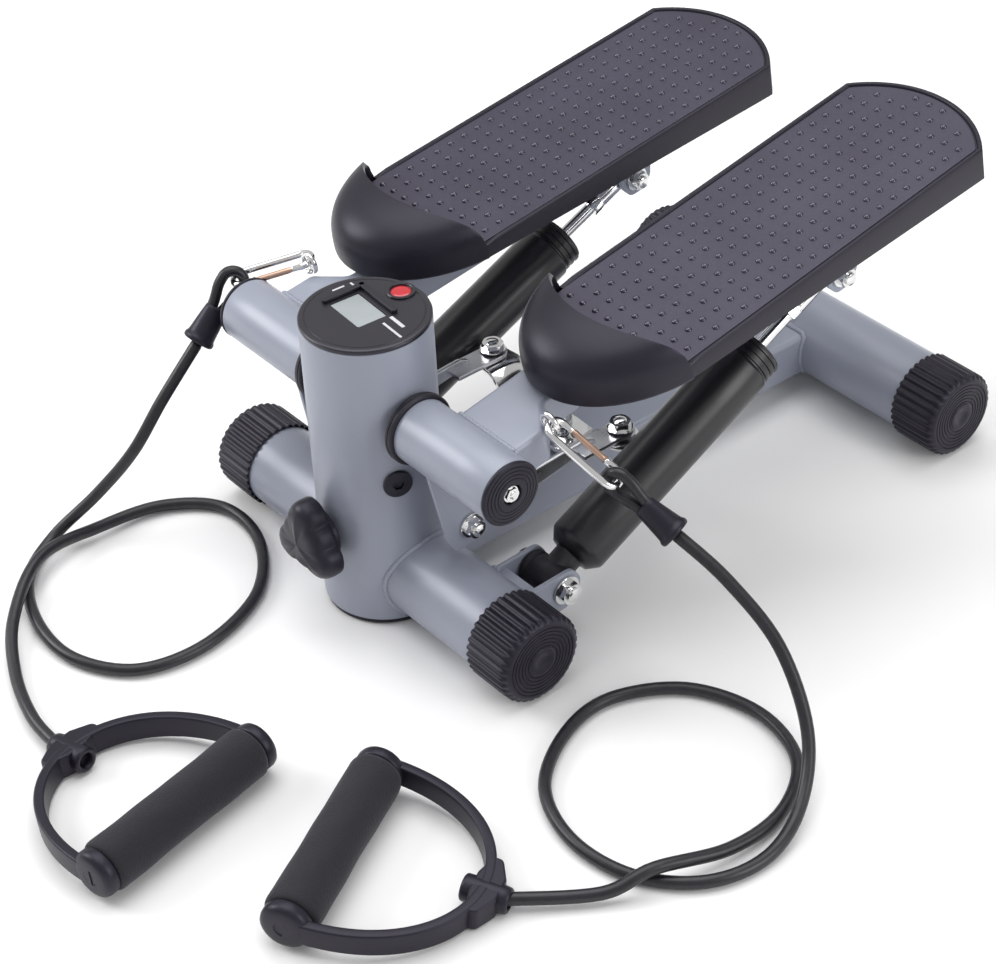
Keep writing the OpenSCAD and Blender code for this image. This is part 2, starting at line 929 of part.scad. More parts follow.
// Three-lobed knob on a stud that screws into the post's front
module height_knob()
    color(plastic)
        knob_place()
            union() {
                along_y(-4, 12, 5);
                along_y(-7, -3, 16);
                for (step = [[7, 12, 0], [19, 3, 3], [22, 2.5, 7]])
                    rotate([90, 0, 0])
                        translate([0, 0, step[0]])
                            linear_extrude(step[1])
                                knob_outline(step[2]);
            }

// Triangle with rounded lobes, moved in by inset
module knob_outline(inset)
    union() {
        for (k = [0 : 2])
            rotate([0, 0, 90 + 120 * k])
                translate([15, 0])
                    circle(r = 11.5 - inset);
        circle(r = 19 - inset);
    }

// --------------------------------------------------------------------- bands
module band_eye(side)
    color(chrome)
        on_arm(side)
            difference() {
                translate(eye_pos)
                    rotate([90, 0, 0])
                        rotate_extrude()
                            translate([eye_r, 0])
                                circle(r = eye_wire, $fn = 24);
                translate([0, 0, arm_bottom])
                    linear_extrude(arm_top - arm_bottom + 0.1)
                        arm_outline();
            }

module right_band_eye() band_eye(RIGHT);
module left_band_eye() band_eye(LEFT);

// Long wire loop, open on one side where the gate closes it
module snap_hook(side)
    color(chrome)
        aimed(hook_start(side), hook_dir(side))
            union() {
                translate([hook_half, 0, 0])
                    half_ring(hook_half, hook_wire);
                translate([hook_len - hook_half, 0, 0])
                    rotate([0, 0, 180])
                        half_ring(hook_half, hook_wire);
                translate([0, -hook_half, 0])
                    along_x(hook_half, hook_len - hook_half, hook_wire, 24);
                translate([0, hook_half, 0])
                    along_x(hook_half, gate_from - 0.5, hook_wire, 24);
                translate([0, hook_half, 0])
                    along_x(gate_to + 0.5, hook_len - hook_half, hook_wire, 24);
            }

module right_snap_hook() snap_hook(RIGHT);
module left_snap_hook() snap_hook(LEFT);

module hook_gate(side)
    color(steel)
        aimed(hook_start(side), hook_dir(side))
            translate([0, hook_half, 0])
                union() {
                    along_x(gate_from, gate_to - 0.6, gate_r, 24);
                    // hinge pin
                    translate([gate_to - 0.5, 0, -2.5])
                        cylinder(h = 5, r = 0.9);
                }

module right_hook_gate() hook_gate(RIGHT);
module left_hook_gate() hook_gate(LEFT);

// Loop of band round the hook's end, crimped into a ferrule
module band_loop(side)
    color(satin_black)
        aimed(loop_start(side), loop_dir(side))
            union() {
                rotate([90, 0, 0])
                    half_ring(loop_r, band_d / 2 - 0.4);
                for (k = [-1, 1])
                    translate([0, 0, k * loop_r])
                        along_x(0, loop_len - ferrule_len + 1, band_d / 2 - 0.4, 24);
                translate([loop_len - ferrule_len, 0, 0])
                    rotate([0, 90, 0])
                        cylinder(h = ferrule_len - 3, r1 = 7, r2 = 9.5);
                along_x(loop_len - 3, loop_len, 9.5);
            }

module right_band_loop() band_loop(RIGHT);
module left_band_loop() band_loop(LEFT);

module cord(route)
    color(satin_black)
        swept_tube(smooth_route(route), band_d / 2, ring_sides);

module right_cord() cord(right_route);
module left_cord() cord(left_route);

// ------------------------------------------------------------------- handles
module on_handle(pos, turn)
    translate([pos[0], pos[1], grip_z])
        rotate([0, 0, turn])
            rotate([0, handle_tilt, 0])
                children();

// D outline about the grip's middle, grown by the given amount
function handle_outline(grow) =
    [for (t = [-90 : 7.5 : 90])
        [(handle_reach + grow) * pow(max(cos(t), 0), handle_power),
         (handle_half + grow) * sin(t)]];

module handle_frame(pos, turn)
    color(plastic)
        on_handle(pos, turn)
            union() {
                translate([0, 0, -handle_bar_h / 2])
                    linear_extrude(handle_bar_h)
                        difference() {
                            polygon(handle_outline(handle_bar / 2));
                            polygon(handle_outline(-handle_bar / 2));
                            translate([-10, -grip_half - 1])
                                square([20, 2 * grip_half + 2]);
                        }
                along_y(-grip_half - 13, -grip_half, 13.5);
                along_y(grip_half, grip_half + 13, 13.5);
                along_y(-grip_half, grip_half, 9);
                along_x(handle_reach - 9, handle_reach + 9, 7.4);
            }

module right_handle_frame() handle_frame(right_grip, right_grip_turn);
module left_handle_frame() handle_frame(left_grip, left_grip_turn);

module handle_grip(pos, turn)
    color(foam)
        on_handle(pos, turn)
            difference() {
                along_y(-grip_half + 0.1, grip_half - 0.1, grip_d / 2);
                along_y(-grip_half - 1, grip_half + 1, 9.05);
            }

module right_handle_grip() handle_grip(right_grip, right_grip_turn);
module left_handle_grip() handle_grip(left_grip, left_grip_turn);

front_crossbar();
rear_crossbar();
main_beam();
post();
base_plug();
right_front_foot();
left_front_foot();
right_rear_foot();
left_rear_foot();
right_damper_bracket();
left_damper_bracket();
bracket_bolts();
pivot_axle();
axle_nuts();
display_housing();
display_bezel();
lcd_panel();
sensor_plug();
rocker_post();
red_button();
height_knob();
rocker_bar();
rocker_bolts();
right_arm();
left_arm();
right_sleeve_bushes();
left_sleeve_bushes();
right_sleeve_cap();
left_sleeve_cap();
right_lever_bolt();
left_lever_bolt();
right_link();
left_link();
right_pedal();
left_pedal();
right_toe_cup();
left_toe_cup();
right_pedal_screws();
left_pedal_screws();
right_upper_bolt();
left_upper_bolt();
right_band_eye();
left_band_eye();
right_snap_hook();
left_snap_hook();
right_hook_gate();
left_hook_gate();
right_band_loop();
left_band_loop();
right_damper_body();
left_damper_body();
right_damper_rod();
left_damper_rod();
right_cord();
left_cord();
right_handle_frame();
left_handle_frame();
right_handle_grip();
left_handle_grip();
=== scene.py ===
import json
from math import acos, cos, degrees, pi, radians, sin, sqrt, tan

import bmesh
import bpy
from mathutils import Euler, Matrix, Vector


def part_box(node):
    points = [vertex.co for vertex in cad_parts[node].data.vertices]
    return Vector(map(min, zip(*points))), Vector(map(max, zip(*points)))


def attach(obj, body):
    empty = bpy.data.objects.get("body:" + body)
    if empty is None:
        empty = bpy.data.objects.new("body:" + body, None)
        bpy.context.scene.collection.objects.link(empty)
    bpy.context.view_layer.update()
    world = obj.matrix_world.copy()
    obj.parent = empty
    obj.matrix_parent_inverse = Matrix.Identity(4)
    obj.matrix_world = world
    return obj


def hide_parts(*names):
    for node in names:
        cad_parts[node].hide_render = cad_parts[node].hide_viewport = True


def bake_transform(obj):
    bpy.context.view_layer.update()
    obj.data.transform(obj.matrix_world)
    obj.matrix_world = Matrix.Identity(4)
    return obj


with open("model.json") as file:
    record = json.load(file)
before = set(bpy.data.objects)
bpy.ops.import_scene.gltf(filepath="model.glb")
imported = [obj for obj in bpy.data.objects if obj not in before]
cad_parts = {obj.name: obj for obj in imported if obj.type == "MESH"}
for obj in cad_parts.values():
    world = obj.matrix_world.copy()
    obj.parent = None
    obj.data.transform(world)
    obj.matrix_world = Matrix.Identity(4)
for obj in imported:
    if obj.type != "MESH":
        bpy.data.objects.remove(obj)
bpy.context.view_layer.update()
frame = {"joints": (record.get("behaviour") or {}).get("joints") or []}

# Shapes are drawn in millimetres and scaled when a piece is made.
MM = 0.001
RIGHT, LEFT = 1, -1
SIDES = {RIGHT: "right", LEFT: "left"}
JOINTS = {j["name"]: j for j in frame["joints"]}


# ------------------------------------------------------------------ camera and floor
def make_camera():
    """A long lens at the front right, looking down on the machine."""
    azimuth, elevation, roll = (radians(a) for a in (52.16, 37.45, -2.92))
    forward = Vector((-sin(azimuth) * cos(elevation), cos(azimuth) * cos(elevation),
        -sin(elevation)))
    level = Vector((cos(azimuth), sin(azimuth), 0))
    upright = level.cross(forward)
    across = level * cos(roll) + upright * sin(roll)
    up = upright * cos(roll) - level * sin(roll)
    camera = bpy.data.objects.new("camera", bpy.data.cameras.new("camera"))
    turn = Matrix((across, up, -forward)).transposed().to_4x4()
    camera.matrix_world = Matrix.Translation((0.9937, -0.6792, 0.9925)) @ turn
    camera.data.lens = 93.31
    camera.data.sensor_width = 36
    camera.data.shift_x = -0.007
    camera.data.clip_start = 0.05
    camera.data.clip_end = 50
    bpy.context.scene.collection.objects.link(camera)
    bpy.context.scene.camera = camera


make_camera()


# ------------------------------------------------------------------------ materials
class Surface:
    """A procedural material; its textures are fed by object coordinates."""

    def __init__(self, name):
        self.material = bpy.data.materials.new(name)
        self.material.use_nodes = True
        self.nodes = self.material.node_tree.nodes
        self.links = self.material.node_tree.links
        self.shader = self.nodes["Principled BSDF"].inputs
        self.normal = None

    def set(self, **values):
        for key, value in values.items():
            self.shader[key.replace("_", " ")].default_value = value

    def texture(self, kind, scale, output="Fac", **settings):
        place = self.nodes.new("ShaderNodeTexCoord")
        node = self.nodes.new("ShaderNodeTex" + kind)
        node.inputs["Scale"].default_value = scale
        for key, value in settings.items():
            node.inputs[key].default_value = value
        self.links.new(place.outputs["Object"], node.inputs["Vector"])
        return node.outputs[output]

    def tint(self, value, tone, low, high, start=0.3, stop=0.7):
        """Blends two shares of the tone by a value."""
        node = self.nodes.new("ShaderNodeValToRGB")
        ends = node.color_ramp.elements
        for end, place, share in ((ends[0], start, low), (ends[1], stop, high)):
            end.position = place
            end.color = (*(c * share for c in tone), 1)
        self.links.new(value, node.inputs["Fac"])
        self.links.new(node.outputs["Color"], self.shader["Base Color"])

    def gloss(self, value, low, high):
        """Spreads the roughness between two limits."""
        node = self.nodes.new("ShaderNodeMapRange")
        node.inputs["To Min"].default_value = low
        node.inputs["To Max"].default_value = high
        self.links.new(value, node.inputs["Value"])
        self.links.new(node.outputs["Result"], self.shader["Roughness"])

    def bump(self, height, distance, strength):
        """Adds a bump of that depth, in metres, on top of the last one."""
        node = self.nodes.new("ShaderNodeBump")
        node.inputs["Distance"].default_value = distance
        node.inputs["Strength"].default_value = strength
        self.links.new(height, node.inputs["Height"])
        if self.normal:
            self.links.new(self.normal, node.inputs["Normal"])
        self.normal = node.outputs["Normal"]
        self.links.new(self.normal, self.shader["Normal"])

    def coated(self, weight, roughness):
        self.set(Coat_Weight=weight, Coat_Roughness=roughness)
        return self


def enamel(name, tone, roughness):
    """Sprayed satin paint: faint orange peel and very slight mottling."""
    look = Surface(name)
    mottle = look.texture("Noise", 14, Detail=3)
    look.tint(mottle, tone, 0.94, 1.05, 0, 1)
    look.gloss(mottle, roughness * 0.85, roughness * 1.2)
    look.set(Metallic=0.08)
    look.bump(look.texture("Noise", 420, Detail=2), 0.00012, 0.35)
    look.bump(look.texture("Noise", 2600, Detail=1), 0.00003, 0.25)
    return look.coated(0.3, 0.28)


def moulded(name, tone, roughness, grain=1800, depth=0.00008, specular=0.5):
    """Moulded plastic with a fine spark-eroded grain."""
    look = Surface(name)
    speck = look.texture("Noise", grain * 0.6, Detail=3)
    look.tint(look.texture("Noise", 22, Detail=4), tone, 0.85, 1.15)
    look.gloss(speck, roughness * 0.85, roughness * 1.15)
    look.set(Specular_IOR_Level=specular, Specular_Tint=(0.88, 0.85, 1, 1))
    look.bump(look.texture("Voronoi", grain, "Distance"), depth, 0.5)
    look.bump(speck, depth, 0.4)
    return look


def plated(name, tone, roughness, streak=0):
    """Bright or zinc plating, with faint polishing streaks."""
    look = Surface(name)
    cloud = look.texture("Noise", 60, Detail=4)
    look.set(Metallic=1)
    look.tint(cloud, tone, 0.88, 1)
    look.gloss(cloud, roughness * 0.7, roughness * 1.4)
    look.bump(look.texture("Noise", 900, Detail=2, Distortion=1.5), 0.00003, 0.2 + streak)
    return look


def foam_rubber(name, tone):
    """Closed-cell foam: open pores on a soft, dull skin."""
    look = Surface(name)
    cells = look.texture("Voronoi", 900, "Distance")
    look.tint(cells, tone, 0.6, 1.3, 0.05, 0.5)
    look.set(Roughness=0.82, Sheen_Weight=0.12, Sheen_Roughness=0.5, Sheen_Tint=(0.88, 0.84, 1,
        1))
    look.bump(cells, 0.00035, 0.6)
    look.bump(look.texture("Noise", 90, Detail=5), 0.0006, 0.35)
    return look


def latex(name, tone):
    """Smooth stretch band with faint streaks; V runs along it in metres."""
    look = Surface(name)
    drawn = look.nodes.new("ShaderNodeMapping")
    drawn.inputs["Scale"].default_value = (14, 30, 1)
    streaks = look.texture("Noise", 1, Detail=4)
    place = streaks.node.inputs["Vector"].links[0].from_node
    look.links.new(place.outputs["UV"], drawn.inputs["Vector"])
    look.links.new(drawn.outputs["Vector"], streaks.node.inputs["Vector"])
    dust = look.texture("Noise", 260, Detail=4)
    look.tint(dust, tone, 0.7, 1.5)
    look.gloss(streaks, 0.26, 0.5)
    look.bump(streaks, 0.0002, 0.35)
    look.bump(dust, 0.00012, 0.4)
    return look


def kept(look):
    """The look's material."""
    return look.material


PAINT = kept(enamel("silver_grey_enamel", (0.278, 0.298, 0.366), 0.4))
PLASTIC = kept(moulded("black_plastic", (0.011, 0.0095, 0.0155), 0.38, specular=0.36))
GLOSS_PLASTIC = kept(moulded("smooth_black_plastic", (0.013, 0.012, 0.016), 0.34, 900,
    0.00003).coated(0.2, 0.2))
TREAD_PLASTIC = kept(moulded("slate_tread_plastic", (0.037, 0.033, 0.053), 0.36, 1500, 0.0001,
    0.55))
STUD_PLASTIC = kept(moulded("slate_stud_plastic", (0.030, 0.027, 0.042), 0.15, 900, 0.00003, 0.9))
FOAM = kept(foam_rubber("black_foam", (0.0062, 0.0055, 0.0088)))
CHROME = kept(plated("chrome", (0.86, 0.86, 0.86), 0.1))
ZINC = kept(plated("zinc_plate", (0.62, 0.63, 0.66), 0.28, 0.3))
BRONZE = kept(plated("bronzed_gate", (0.62, 0.42, 0.32), 0.3, 0.2))
SATIN_BLACK = kept(enamel("satin_black_paint", (0.007, 0.0065, 0.009), 0.36).coated(0.3, 0.3))
NYLON = kept(moulded("black_nylon", (0.008, 0.0075, 0.010), 0.45))
RUBBER = kept(moulded("black_rubber", (0.008, 0.008, 0.009), 0.6, 700, 0.0001))
LATEX = kept(latex("black_latex", (0.010, 0.009, 0.013)))
LCD = kept(moulded("lcd_glass", (0.33, 0.36, 0.37), 0.2, 300, 0.00001).coated(1, 0.04))
PRINT = kept(moulded("pale_print", (0.62, 0.62, 0.64), 0.5, 600, 0.00001))
RED = kept(moulded("red_button_plastic", (0.52, 0.008, 0.014), 0.25, 500, 0.00002).coated(0.8,
    0.08))


# -------------------------------------------------------------------------- modelling
class Shape:
    """Collects solids, in millimetres, and turns them into one piece."""

    def __init__(self, place=None, side=None):
        self.bm = bmesh.new()
        self.uv = self.bm.loops.layers.uv.new("uv")
        self.place = place or Matrix.Identity(4)
        self.prefix = SIDES[side] + "_" if side else ""

    def add(self, points, faces, at=None, uvs=None):
        matrix = self.place @ (at or Matrix.Identity(4))
        verts = [self.bm.verts.new(matrix @ Vector(p)) for p in points]
        for i, face in enumerate(faces):
            made = self.bm.faces.new([verts[k] for k in face])
            made.smooth = len(face) <= 4
            if uvs:
                for loop, uv in zip(made.loops, uvs[i]):
                    loop[self.uv].uv = uv
        return self

    def prism(self, outline, low, high, at=None, chamfer=0.0, steps=3):
        """An outline in XY between two heights, its rims rounded by the chamfer."""
        levels = rounded_levels(low, high, chamfer, steps)
        rings = [[(*p, z) for p in shrunk(outline, inset)] for inset, z in levels]
        return self.loft(rings, at)

    def loft(self, rings, at=None, capped=True):
        """Joins rings of equal length, one after the other."""
        n, last = len(rings[0]), len(rings) - 1
        faces = [(i * n + k, i * n + (k + 1) % n, (i + 1) * n + (k + 1) % n, (i + 1) * n + k)
            for i in range(last) for k in range(n)]
        if capped:
            faces += [range(n - 1, -1, -1), range(last * n, last * n + n)]
        return self.add([p for ring in rings for p in ring], faces, at)

    def lathe(self, profile, at=None, sides=48, ripple=None):
        """Turns (radius, height) pairs about Z. A radius of 0 closes that end.
        ripple(angle, radius, height) may change the radius."""
        rings = []
        for radius, height in profile:
            radii = [(a, ripple(a, radius, height) if ripple else radius) for a in angles(sides)]
            rings.append([(r * cos(a), r * sin(a), height) for a, r in radii])
        return self.loft(rings, at, capped=profile[0] != profile[-1])

    def tube(self, path, radius, sides=14, rounded=True, closed=False):
        """A round tube along points; radius may be a list. UVs run round and along it."""
        path = [Vector(p) for p in path]
        radii = radius if isinstance(radius, list) else [radius] * len(path)
        if rounded and not closed:
            path, radii = with_round_ends(path, radii)
        frames = swept_frames(path, closed)
        points, faces, uvs, runs = [], [], [], [0]
        for a, b in zip(path, path[1:]):
            runs.append(runs[-1] + (b - a).length)
        for p, r, (side, up) in zip(path, radii, frames):
            points += [p + r * (cos(a) * side + sin(a) * up) for a in angles(sides)]
        count = len(path) if closed else len(path) - 1
        for i in range(count):
            j = (i + 1) % len(path)
            v0, v1 = runs[i] * MM, (runs[j] if j else runs[-1]) * MM
            for k in range(sides):
                m = (k + 1) % sides
                faces.append((i * sides + k, i * sides + m, j * sides + m, j * sides + k))
                uvs.append(box(k / sides, v0, (k + 1) / sides, v1))
        if not closed:
            last = (len(path) - 1) * sides
            faces += [range(sides - 1, -1, -1), range(last, last + sides)]
            uvs += [[(0, 0)] * sides] * 2
        return self.add(points, faces, uvs=uvs)

    def make(self, name, body, material, replaces=None, sharp=38):
        """Turns the shape into an object that rides on a body. A shape with a side puts
        the side before the names."""
        name = self.prefix + name
        bm = self.bm
        bmesh.ops.remove_doubles(bm, verts=bm.verts, dist=1e-4)
        bmesh.ops.dissolve_degenerate(bm, edges=bm.edges, dist=1e-4)
        bmesh.ops.recalc_face_normals(bm, faces=bm.faces)
        limit = radians(sharp)
        for edge in bm.edges:
            if len(edge.link_faces) == 2:
                edge.smooth = edge.calc_face_angle(0) < limit
        bmesh.ops.scale(bm, vec=(MM, MM, MM), verts=bm.verts)
        mesh = bpy.data.meshes.new(name)
        bm.to_mesh(mesh)
        bm.free()
        mesh.materials.append(material)
        piece = bpy.data.objects.new(name, mesh)
        bpy.context.scene.collection.objects.link(piece)
        if body:
            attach(piece, body if body == "frame" else self.prefix + body)
        if replaces:
            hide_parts(self.prefix + replaces)
        return piece


def at(x=0, y=0, z=0):
    return Matrix.Translation((x, y, z))


def spin(degrees, axis):
    return Matrix.Rotation(radians(degrees), 4, axis)


def mirrored(side):
    return Matrix.Scale(side, 4, (1, 0, 0))


def angles(count):
    return [2 * pi * k / count for k in range(count)]


def circle(radius, count):
    return [(radius * cos(a), radius * sin(a)) for a in angles(count)]


def box(x0, y0, x1, y1):
    return [(x0, y0), (x1, y0), (x1, y1), (x0, y1)]


def raised(profile, height):
    """The (radius, height) pairs moved along the axis."""
    return [(r, height + z) for r, z in profile]


def run(start, step, count):
    """Evenly spaced points on a straight line."""
    return [[a + b * k for a, b in zip(start, step)] for k in range(count)]


def rounded_levels(low, high, chamfer, steps):
    """(inset, height) pairs that round both rims of a prism."""
    if not chamfer:
        return [(0, low), (0, high)]
    turns = [pi / 2 * k / steps for k in range(steps + 1)]
    cut = [(chamfer * (1 - sin(a)), chamfer * (1 - cos(a))) for a in turns]
    return [(c, low + d) for c, d in cut] + [(c, high - d) for c, d in reversed(cut)]


def shrunk(outline, inset):
    """The outline with each corner moved inwards along its mitre."""
    if not inset:
        return list(outline)
    n = len(outline)
    area = sum(outline[i - 1][0] * outline[i][1] - outline[i][0] * outline[i - 1][1]
        for i in range(n))
    way = 1 if area > 0 else -1
    moved = []
    for i in range(n):
        a, b, c = (Vector(outline[(i + k) % n][:2]) for k in (-1, 0, 1))
        d1, d2 = (b - a).normalized(), (c - b).normalized()
        n1, n2 = Vector((-d1.y, d1.x)), Vector((-d2.y, d2.x))
        mitre = (n1 + n2).normalized()
        stretch = 1 / max(mitre.dot(n1), 0.5)
        p = b + way * inset * stretch * mitre
        moved.append((p.x, p.y))
    return moved


def with_round_ends(path, radii):
    """Adds shrinking rings so that both ends of a tube are domes."""
    first = (path[0] - path[1]).normalized()
    last = (path[-1] - path[-2]).normalized()
    head, tail, head_r, tail_r = [], [], [], []
    for a in (pi / 2, pi * 3 / 8, pi / 4, pi / 8):
        head.append(path[0] + first * radii[0] * 0.6 * sin(a))
        head_r.append(max(radii[0] * cos(a), radii[0] * 0.05))
        tail.insert(0, path[-1] + last * radii[-1] * 0.6 * sin(a))
        tail_r.insert(0, max(radii[-1] * cos(a), radii[-1] * 0.05))
    return head + path + tail, head_r + radii + tail_r


def swept_frames(path, closed=False):
    """Side and up vectors along a path, turned as little as possible."""
    n = len(path)
    frames, side = [], None
    for i in range(n):
        if closed:
            along = (path[(i + 1) % n] - path[i - 1]).normalized()
        else:
            along = (path[min(i + 1, n - 1)] - path[max(i - 1, 0)]).normalized()
        if side is None:
            guide = Vector((0, 0, 1)) if abs(along.z) < 0.9 else Vector((1, 0, 0))
            side = along.cross(guide)
        side = (side - along * side.dot(along)).normalized()
        frames.append((side, along.cross(side)))
    return frames


def smooth_path(points, steps):
    """Catmull-Rom curve through the points."""
    p = [Vector(q) for q in points]
    n = len(p) - 1
    made = []
    for i in range(n):
        a, b, c, d = p[max(i - 1, 0)], p[i], p[i + 1], p[min(i + 2, n)]
        for k in range(steps):
            t = k / steps
            made.append(0.5 * (2 * b + (c - a) * t + (2 * a - 5 * b + 4 * c - d) * t * t
                + (3 * b - a - 3 * c + d) * t ** 3))
    made.append(p[n])
    return made


def arc(centre, radius, start, stop, steps):
    """Points on a circle from one angle to another, in degrees."""
    turns = [radians(start + (stop - start) * k / steps) for k in range(steps + 1)]
    return [(centre[0] + radius * cos(a), centre[1] + radius * sin(a)) for a in turns]


def rounded_outline(corners, radius, steps=4):
    """A polygon whose corners are replaced with arcs."""
    n = len(corners)
    made = []
    for i in range(n):
        a, b, c = (Vector(corners[(i + k) % n]) for k in (-1, 0, 1))
        r = radius[i] if isinstance(radius, list) else radius
        to_a, to_c = (a - b).normalized(), (c - b).normalized()
        half = to_a.angle(to_c) / 2
        cut = min(r / tan(half), (a - b).length * 0.48, (c - b).length * 0.48)
        p, q = b + to_a * cut, b + to_c * cut
        for k in range(steps + 1):
            t = k / steps
            made.append(tuple((1 - t) ** 2 * p + 2 * t * (1 - t) * b + t * t * q))
    return made


def rounded_box(sides, radius, steps=4):
    return rounded_outline(box(*sides), radius, steps)


def mm_box(node):
    low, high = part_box(node)
    return low / MM, high / MM


# --------------------------------------------------------- where things stand, in mm
PIVOT_Z = JOINTS["right_arm_pivot"]["pos_m"][2] / MM
SLOPE = {RIGHT: 10.4, LEFT: 7.6}
POST_LOW, POST_HIGH = mm_box("display_housing")
POST_R = (POST_HIGH.y - POST_LOW.y) / 2
POST_TOP = mm_box("post")[1].z


def arm_frame(side):
    """From an arm's own frame (x, along, square to the pedal) to the machine's."""
    return at(z=PIVOT_Z) @ spin(SLOPE[side], "X") @ mirrored(side)


def damper_frame(side):
    """Z runs up a damper from its lower pivot."""
    start = Vector(JOINTS[SIDES[side] + "_damper_pivot"]["pos_m"]) / MM
    z = Vector(JOINTS[SIDES[side] + "_damper_slide"]["axis"]).normalized()
    x = Vector((0, 0, 1)).cross(z).normalized()
    return Matrix.Translation(start) @ Matrix((x, z.cross(x), z)).transposed().to_4x4()


def heading(roll, pitch, yaw):
    return Euler([radians(a) for a in (roll, pitch, yaw)]).to_matrix().to_4x4()


EYE = (112, 42, 14.5)
HOOK_TURN = {RIGHT: heading(0, 34.2, 22.2), LEFT: heading(0, 14, -124)}
LOOP_TURN = {RIGHT: heading(0, 34.2, 22.2), LEFT: heading(30, 46, -92)}
HOOK_SHIFT = {RIGHT: Vector((0, 0, 0)), LEFT: Vector((-3, 4, 1))}
LOOP_SHIFT = {RIGHT: Vector((0, 0, 0)), LEFT: Vector((1, -1, 0))}
HOOK_LEN = 50


def hook_frame(side):
    """X runs along the hook from where it hangs in the eye."""
    start = arm_frame(side) @ Vector(EYE) + HOOK_SHIFT[side]
    return Matrix.Translation(start) @ HOOK_TURN[side]


def loop_frame(side):
    """X runs along the band's loop from the hook's far end."""
    end = hook_frame(side) @ Vector((HOOK_LEN, 0, 0)) + LOOP_SHIFT[side]
    return Matrix.Translation(end) @ LOOP_TURN[side]


# ------------------------------------------------------------------------------ cords
BAND_D = 7.5
ROUTES = {RIGHT: [(183, 68, 108), (214, 76, 91), (251, 80, 65), (285, 69, 33), (307, 43, 11),
    (318, 8, 4), (310, -28, 4), (281, -54, 4), (240, -61, 4), (200, -46, 4), (175, -10, 4),
    (170, 28, 4), (193, 66, 4), (235, 82, 4), (276, 71, 4), (299, 37, 4), (302, -4, 6),
    (291, -48, 13), (281, -76, 6), (251, -117, 7)], LEFT: [(-142, -28, 116), (-140, -58, 90),
    (-145, -80, 60), (-160, -101, 30), (-169, -131, 7), (-148, -162, 4), (-108, -180, 4),
    (-66, -181, 4), (-32, -158, 4), (-24, -115, 4), (-42, -67, 4), (-82, -37, 4), (-125, -34, 4),
    (-153, -62, 4), (-158, -105, 7), (-148, -152, 15), (-116, -191, 9), (-77, -214, 5),
    (-36, -227, 6), (-4, -229, 7)]}


def make_cord(side):
    """A stretch band: it follows the arm near its ferrule and lies still on the floor."""
    path = smooth_path(ROUTES[side], 8)
    shape = Shape(None, side)
    shape.tube(path, BAND_D / 2, sides=16)
    cord = shape.make("band", None, LATEX, "cord")
    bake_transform(cord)


for side in SIDES:
    make_cord(side)


# ------------------------------------------------------------------- small hardware
# Local X, Y, Z of a shape drawn about Z become Y, Z, X
ALONG_X = Matrix(((0, 0, 1, 0), (1, 0, 0, 0), (0, 1, 0, 0), (0, 0, 0, 1)))


def along_x(x, y, z, way=1):
    """A shape drawn about Z, laid along X (or against it) from that point."""
    return at(x, y, z) @ mirrored(way) @ ALONG_X


def washer(shape, matrix, radius, thick=1.4, bore=3.0):
    profile = [(bore, 0), (radius - 0.3, 0), (radius, 0.3), (radius, thick - 0.3),
        (radius - 0.3, thick), (bore, thick), (bore, 0)]
    return shape.lathe(profile, matrix, sides=36)


def hexagon(shape, matrix, radius, height, domed=True):
    """Hexagonal head or nut from Z = 0 whose top corners are chamfered."""
    trims = {0: 0.97, height * 0.12: 1, height * 0.75: 1, height: 0.9}
    flat = lambda a, r, z: radius * min(cos(pi / 6) / cos(a % (pi / 3) - pi / 6), trims[z])
    shape.lathe([(radius, z) for z in trims], matrix, ripple=flat)
    if domed:
        shape.lathe([(0, height - 0.1), (radius * 0.55, height - 0.1),
            (radius * 0.5, height + 0.4), (0, height + 0.7)], matrix, sides=24)
    return shape


THREAD_PITCH = 1.25


def thread(shape, matrix, radius, length):
    """A bolt's end with rings for its thread, from Z = 0."""
    profile = [(0, -0.2), (radius * 0.86, -0.2)]
    for k in range(int(length / THREAD_PITCH)):
        low = k * THREAD_PITCH
        profile += [(radius * 0.86, low + 0.1), (radius, low + THREAD_PITCH / 2)]
    profile += [(radius * 0.8, length - 0.4), (radius * 0.5, length), (0, length)]
    return shape.lathe(profile, matrix, sides=24)


def flange_nut(shape, matrix, height, radius, bolt, proud):
    washer(shape, matrix, radius + 1.6, 1.6, bolt)
    hexagon(shape, matrix @ at(z=1.6), radius, height - 1.6, domed=False)
    return thread(shape, matrix @ at(z=height - 0.3), bolt, proud + 0.3)


def bead(shape, path, radius=1.7, closed=True):
    """A weld bead: a lumpy tube with one scallop for each few millimetres."""
    path = [Vector(p) for p in path]
    run, radii = 0.0, []
    for i, p in enumerate(path):
        run += (p - path[i - 1]).length if i else 0
        radii.append(radius * (1 + 0.13 * sin(run * 2.1)))
    return shape.tube(path, radii, sides=10, closed=closed)


# ----------------------------------------------------------------------------- frame
BAR_R = 26
BAR_Z = 28
BAR_Y = {"front": 3, "rear": 347.5}
BAR_HALF = 114
BEAM_SIDES = (-25, 12, 25, 42)


def make_crossbars():
    for which, y in BAR_Y.items():
        shape = Shape()
        half = [(BAR_R, 0), (BAR_R, 60), (BAR_R, BAR_HALF - 0.4), (BAR_R - 0.4, BAR_HALF),
            (BAR_R - 2, BAR_HALF)]
        profile = [(r, -x) for r, x in reversed(half)] + half[1:]
        shape.lathe(profile + profile[:1], along_x(0, y, BAR_Z), sides=96)
        shape.make(which + "_crossbar_tube", "frame", PAINT, which + "_crossbar")


def make_beam():
    shape = Shape()
    start, end = 24, 328
    section = rounded_box(BEAM_SIDES, 4.5, 6)
    shape.loft([[(x, start + (end - start) * k / 12, z) for x, z in section] for k in range(13)])
    shape.make("main_beam_tube", "frame", PAINT, "main_beam")


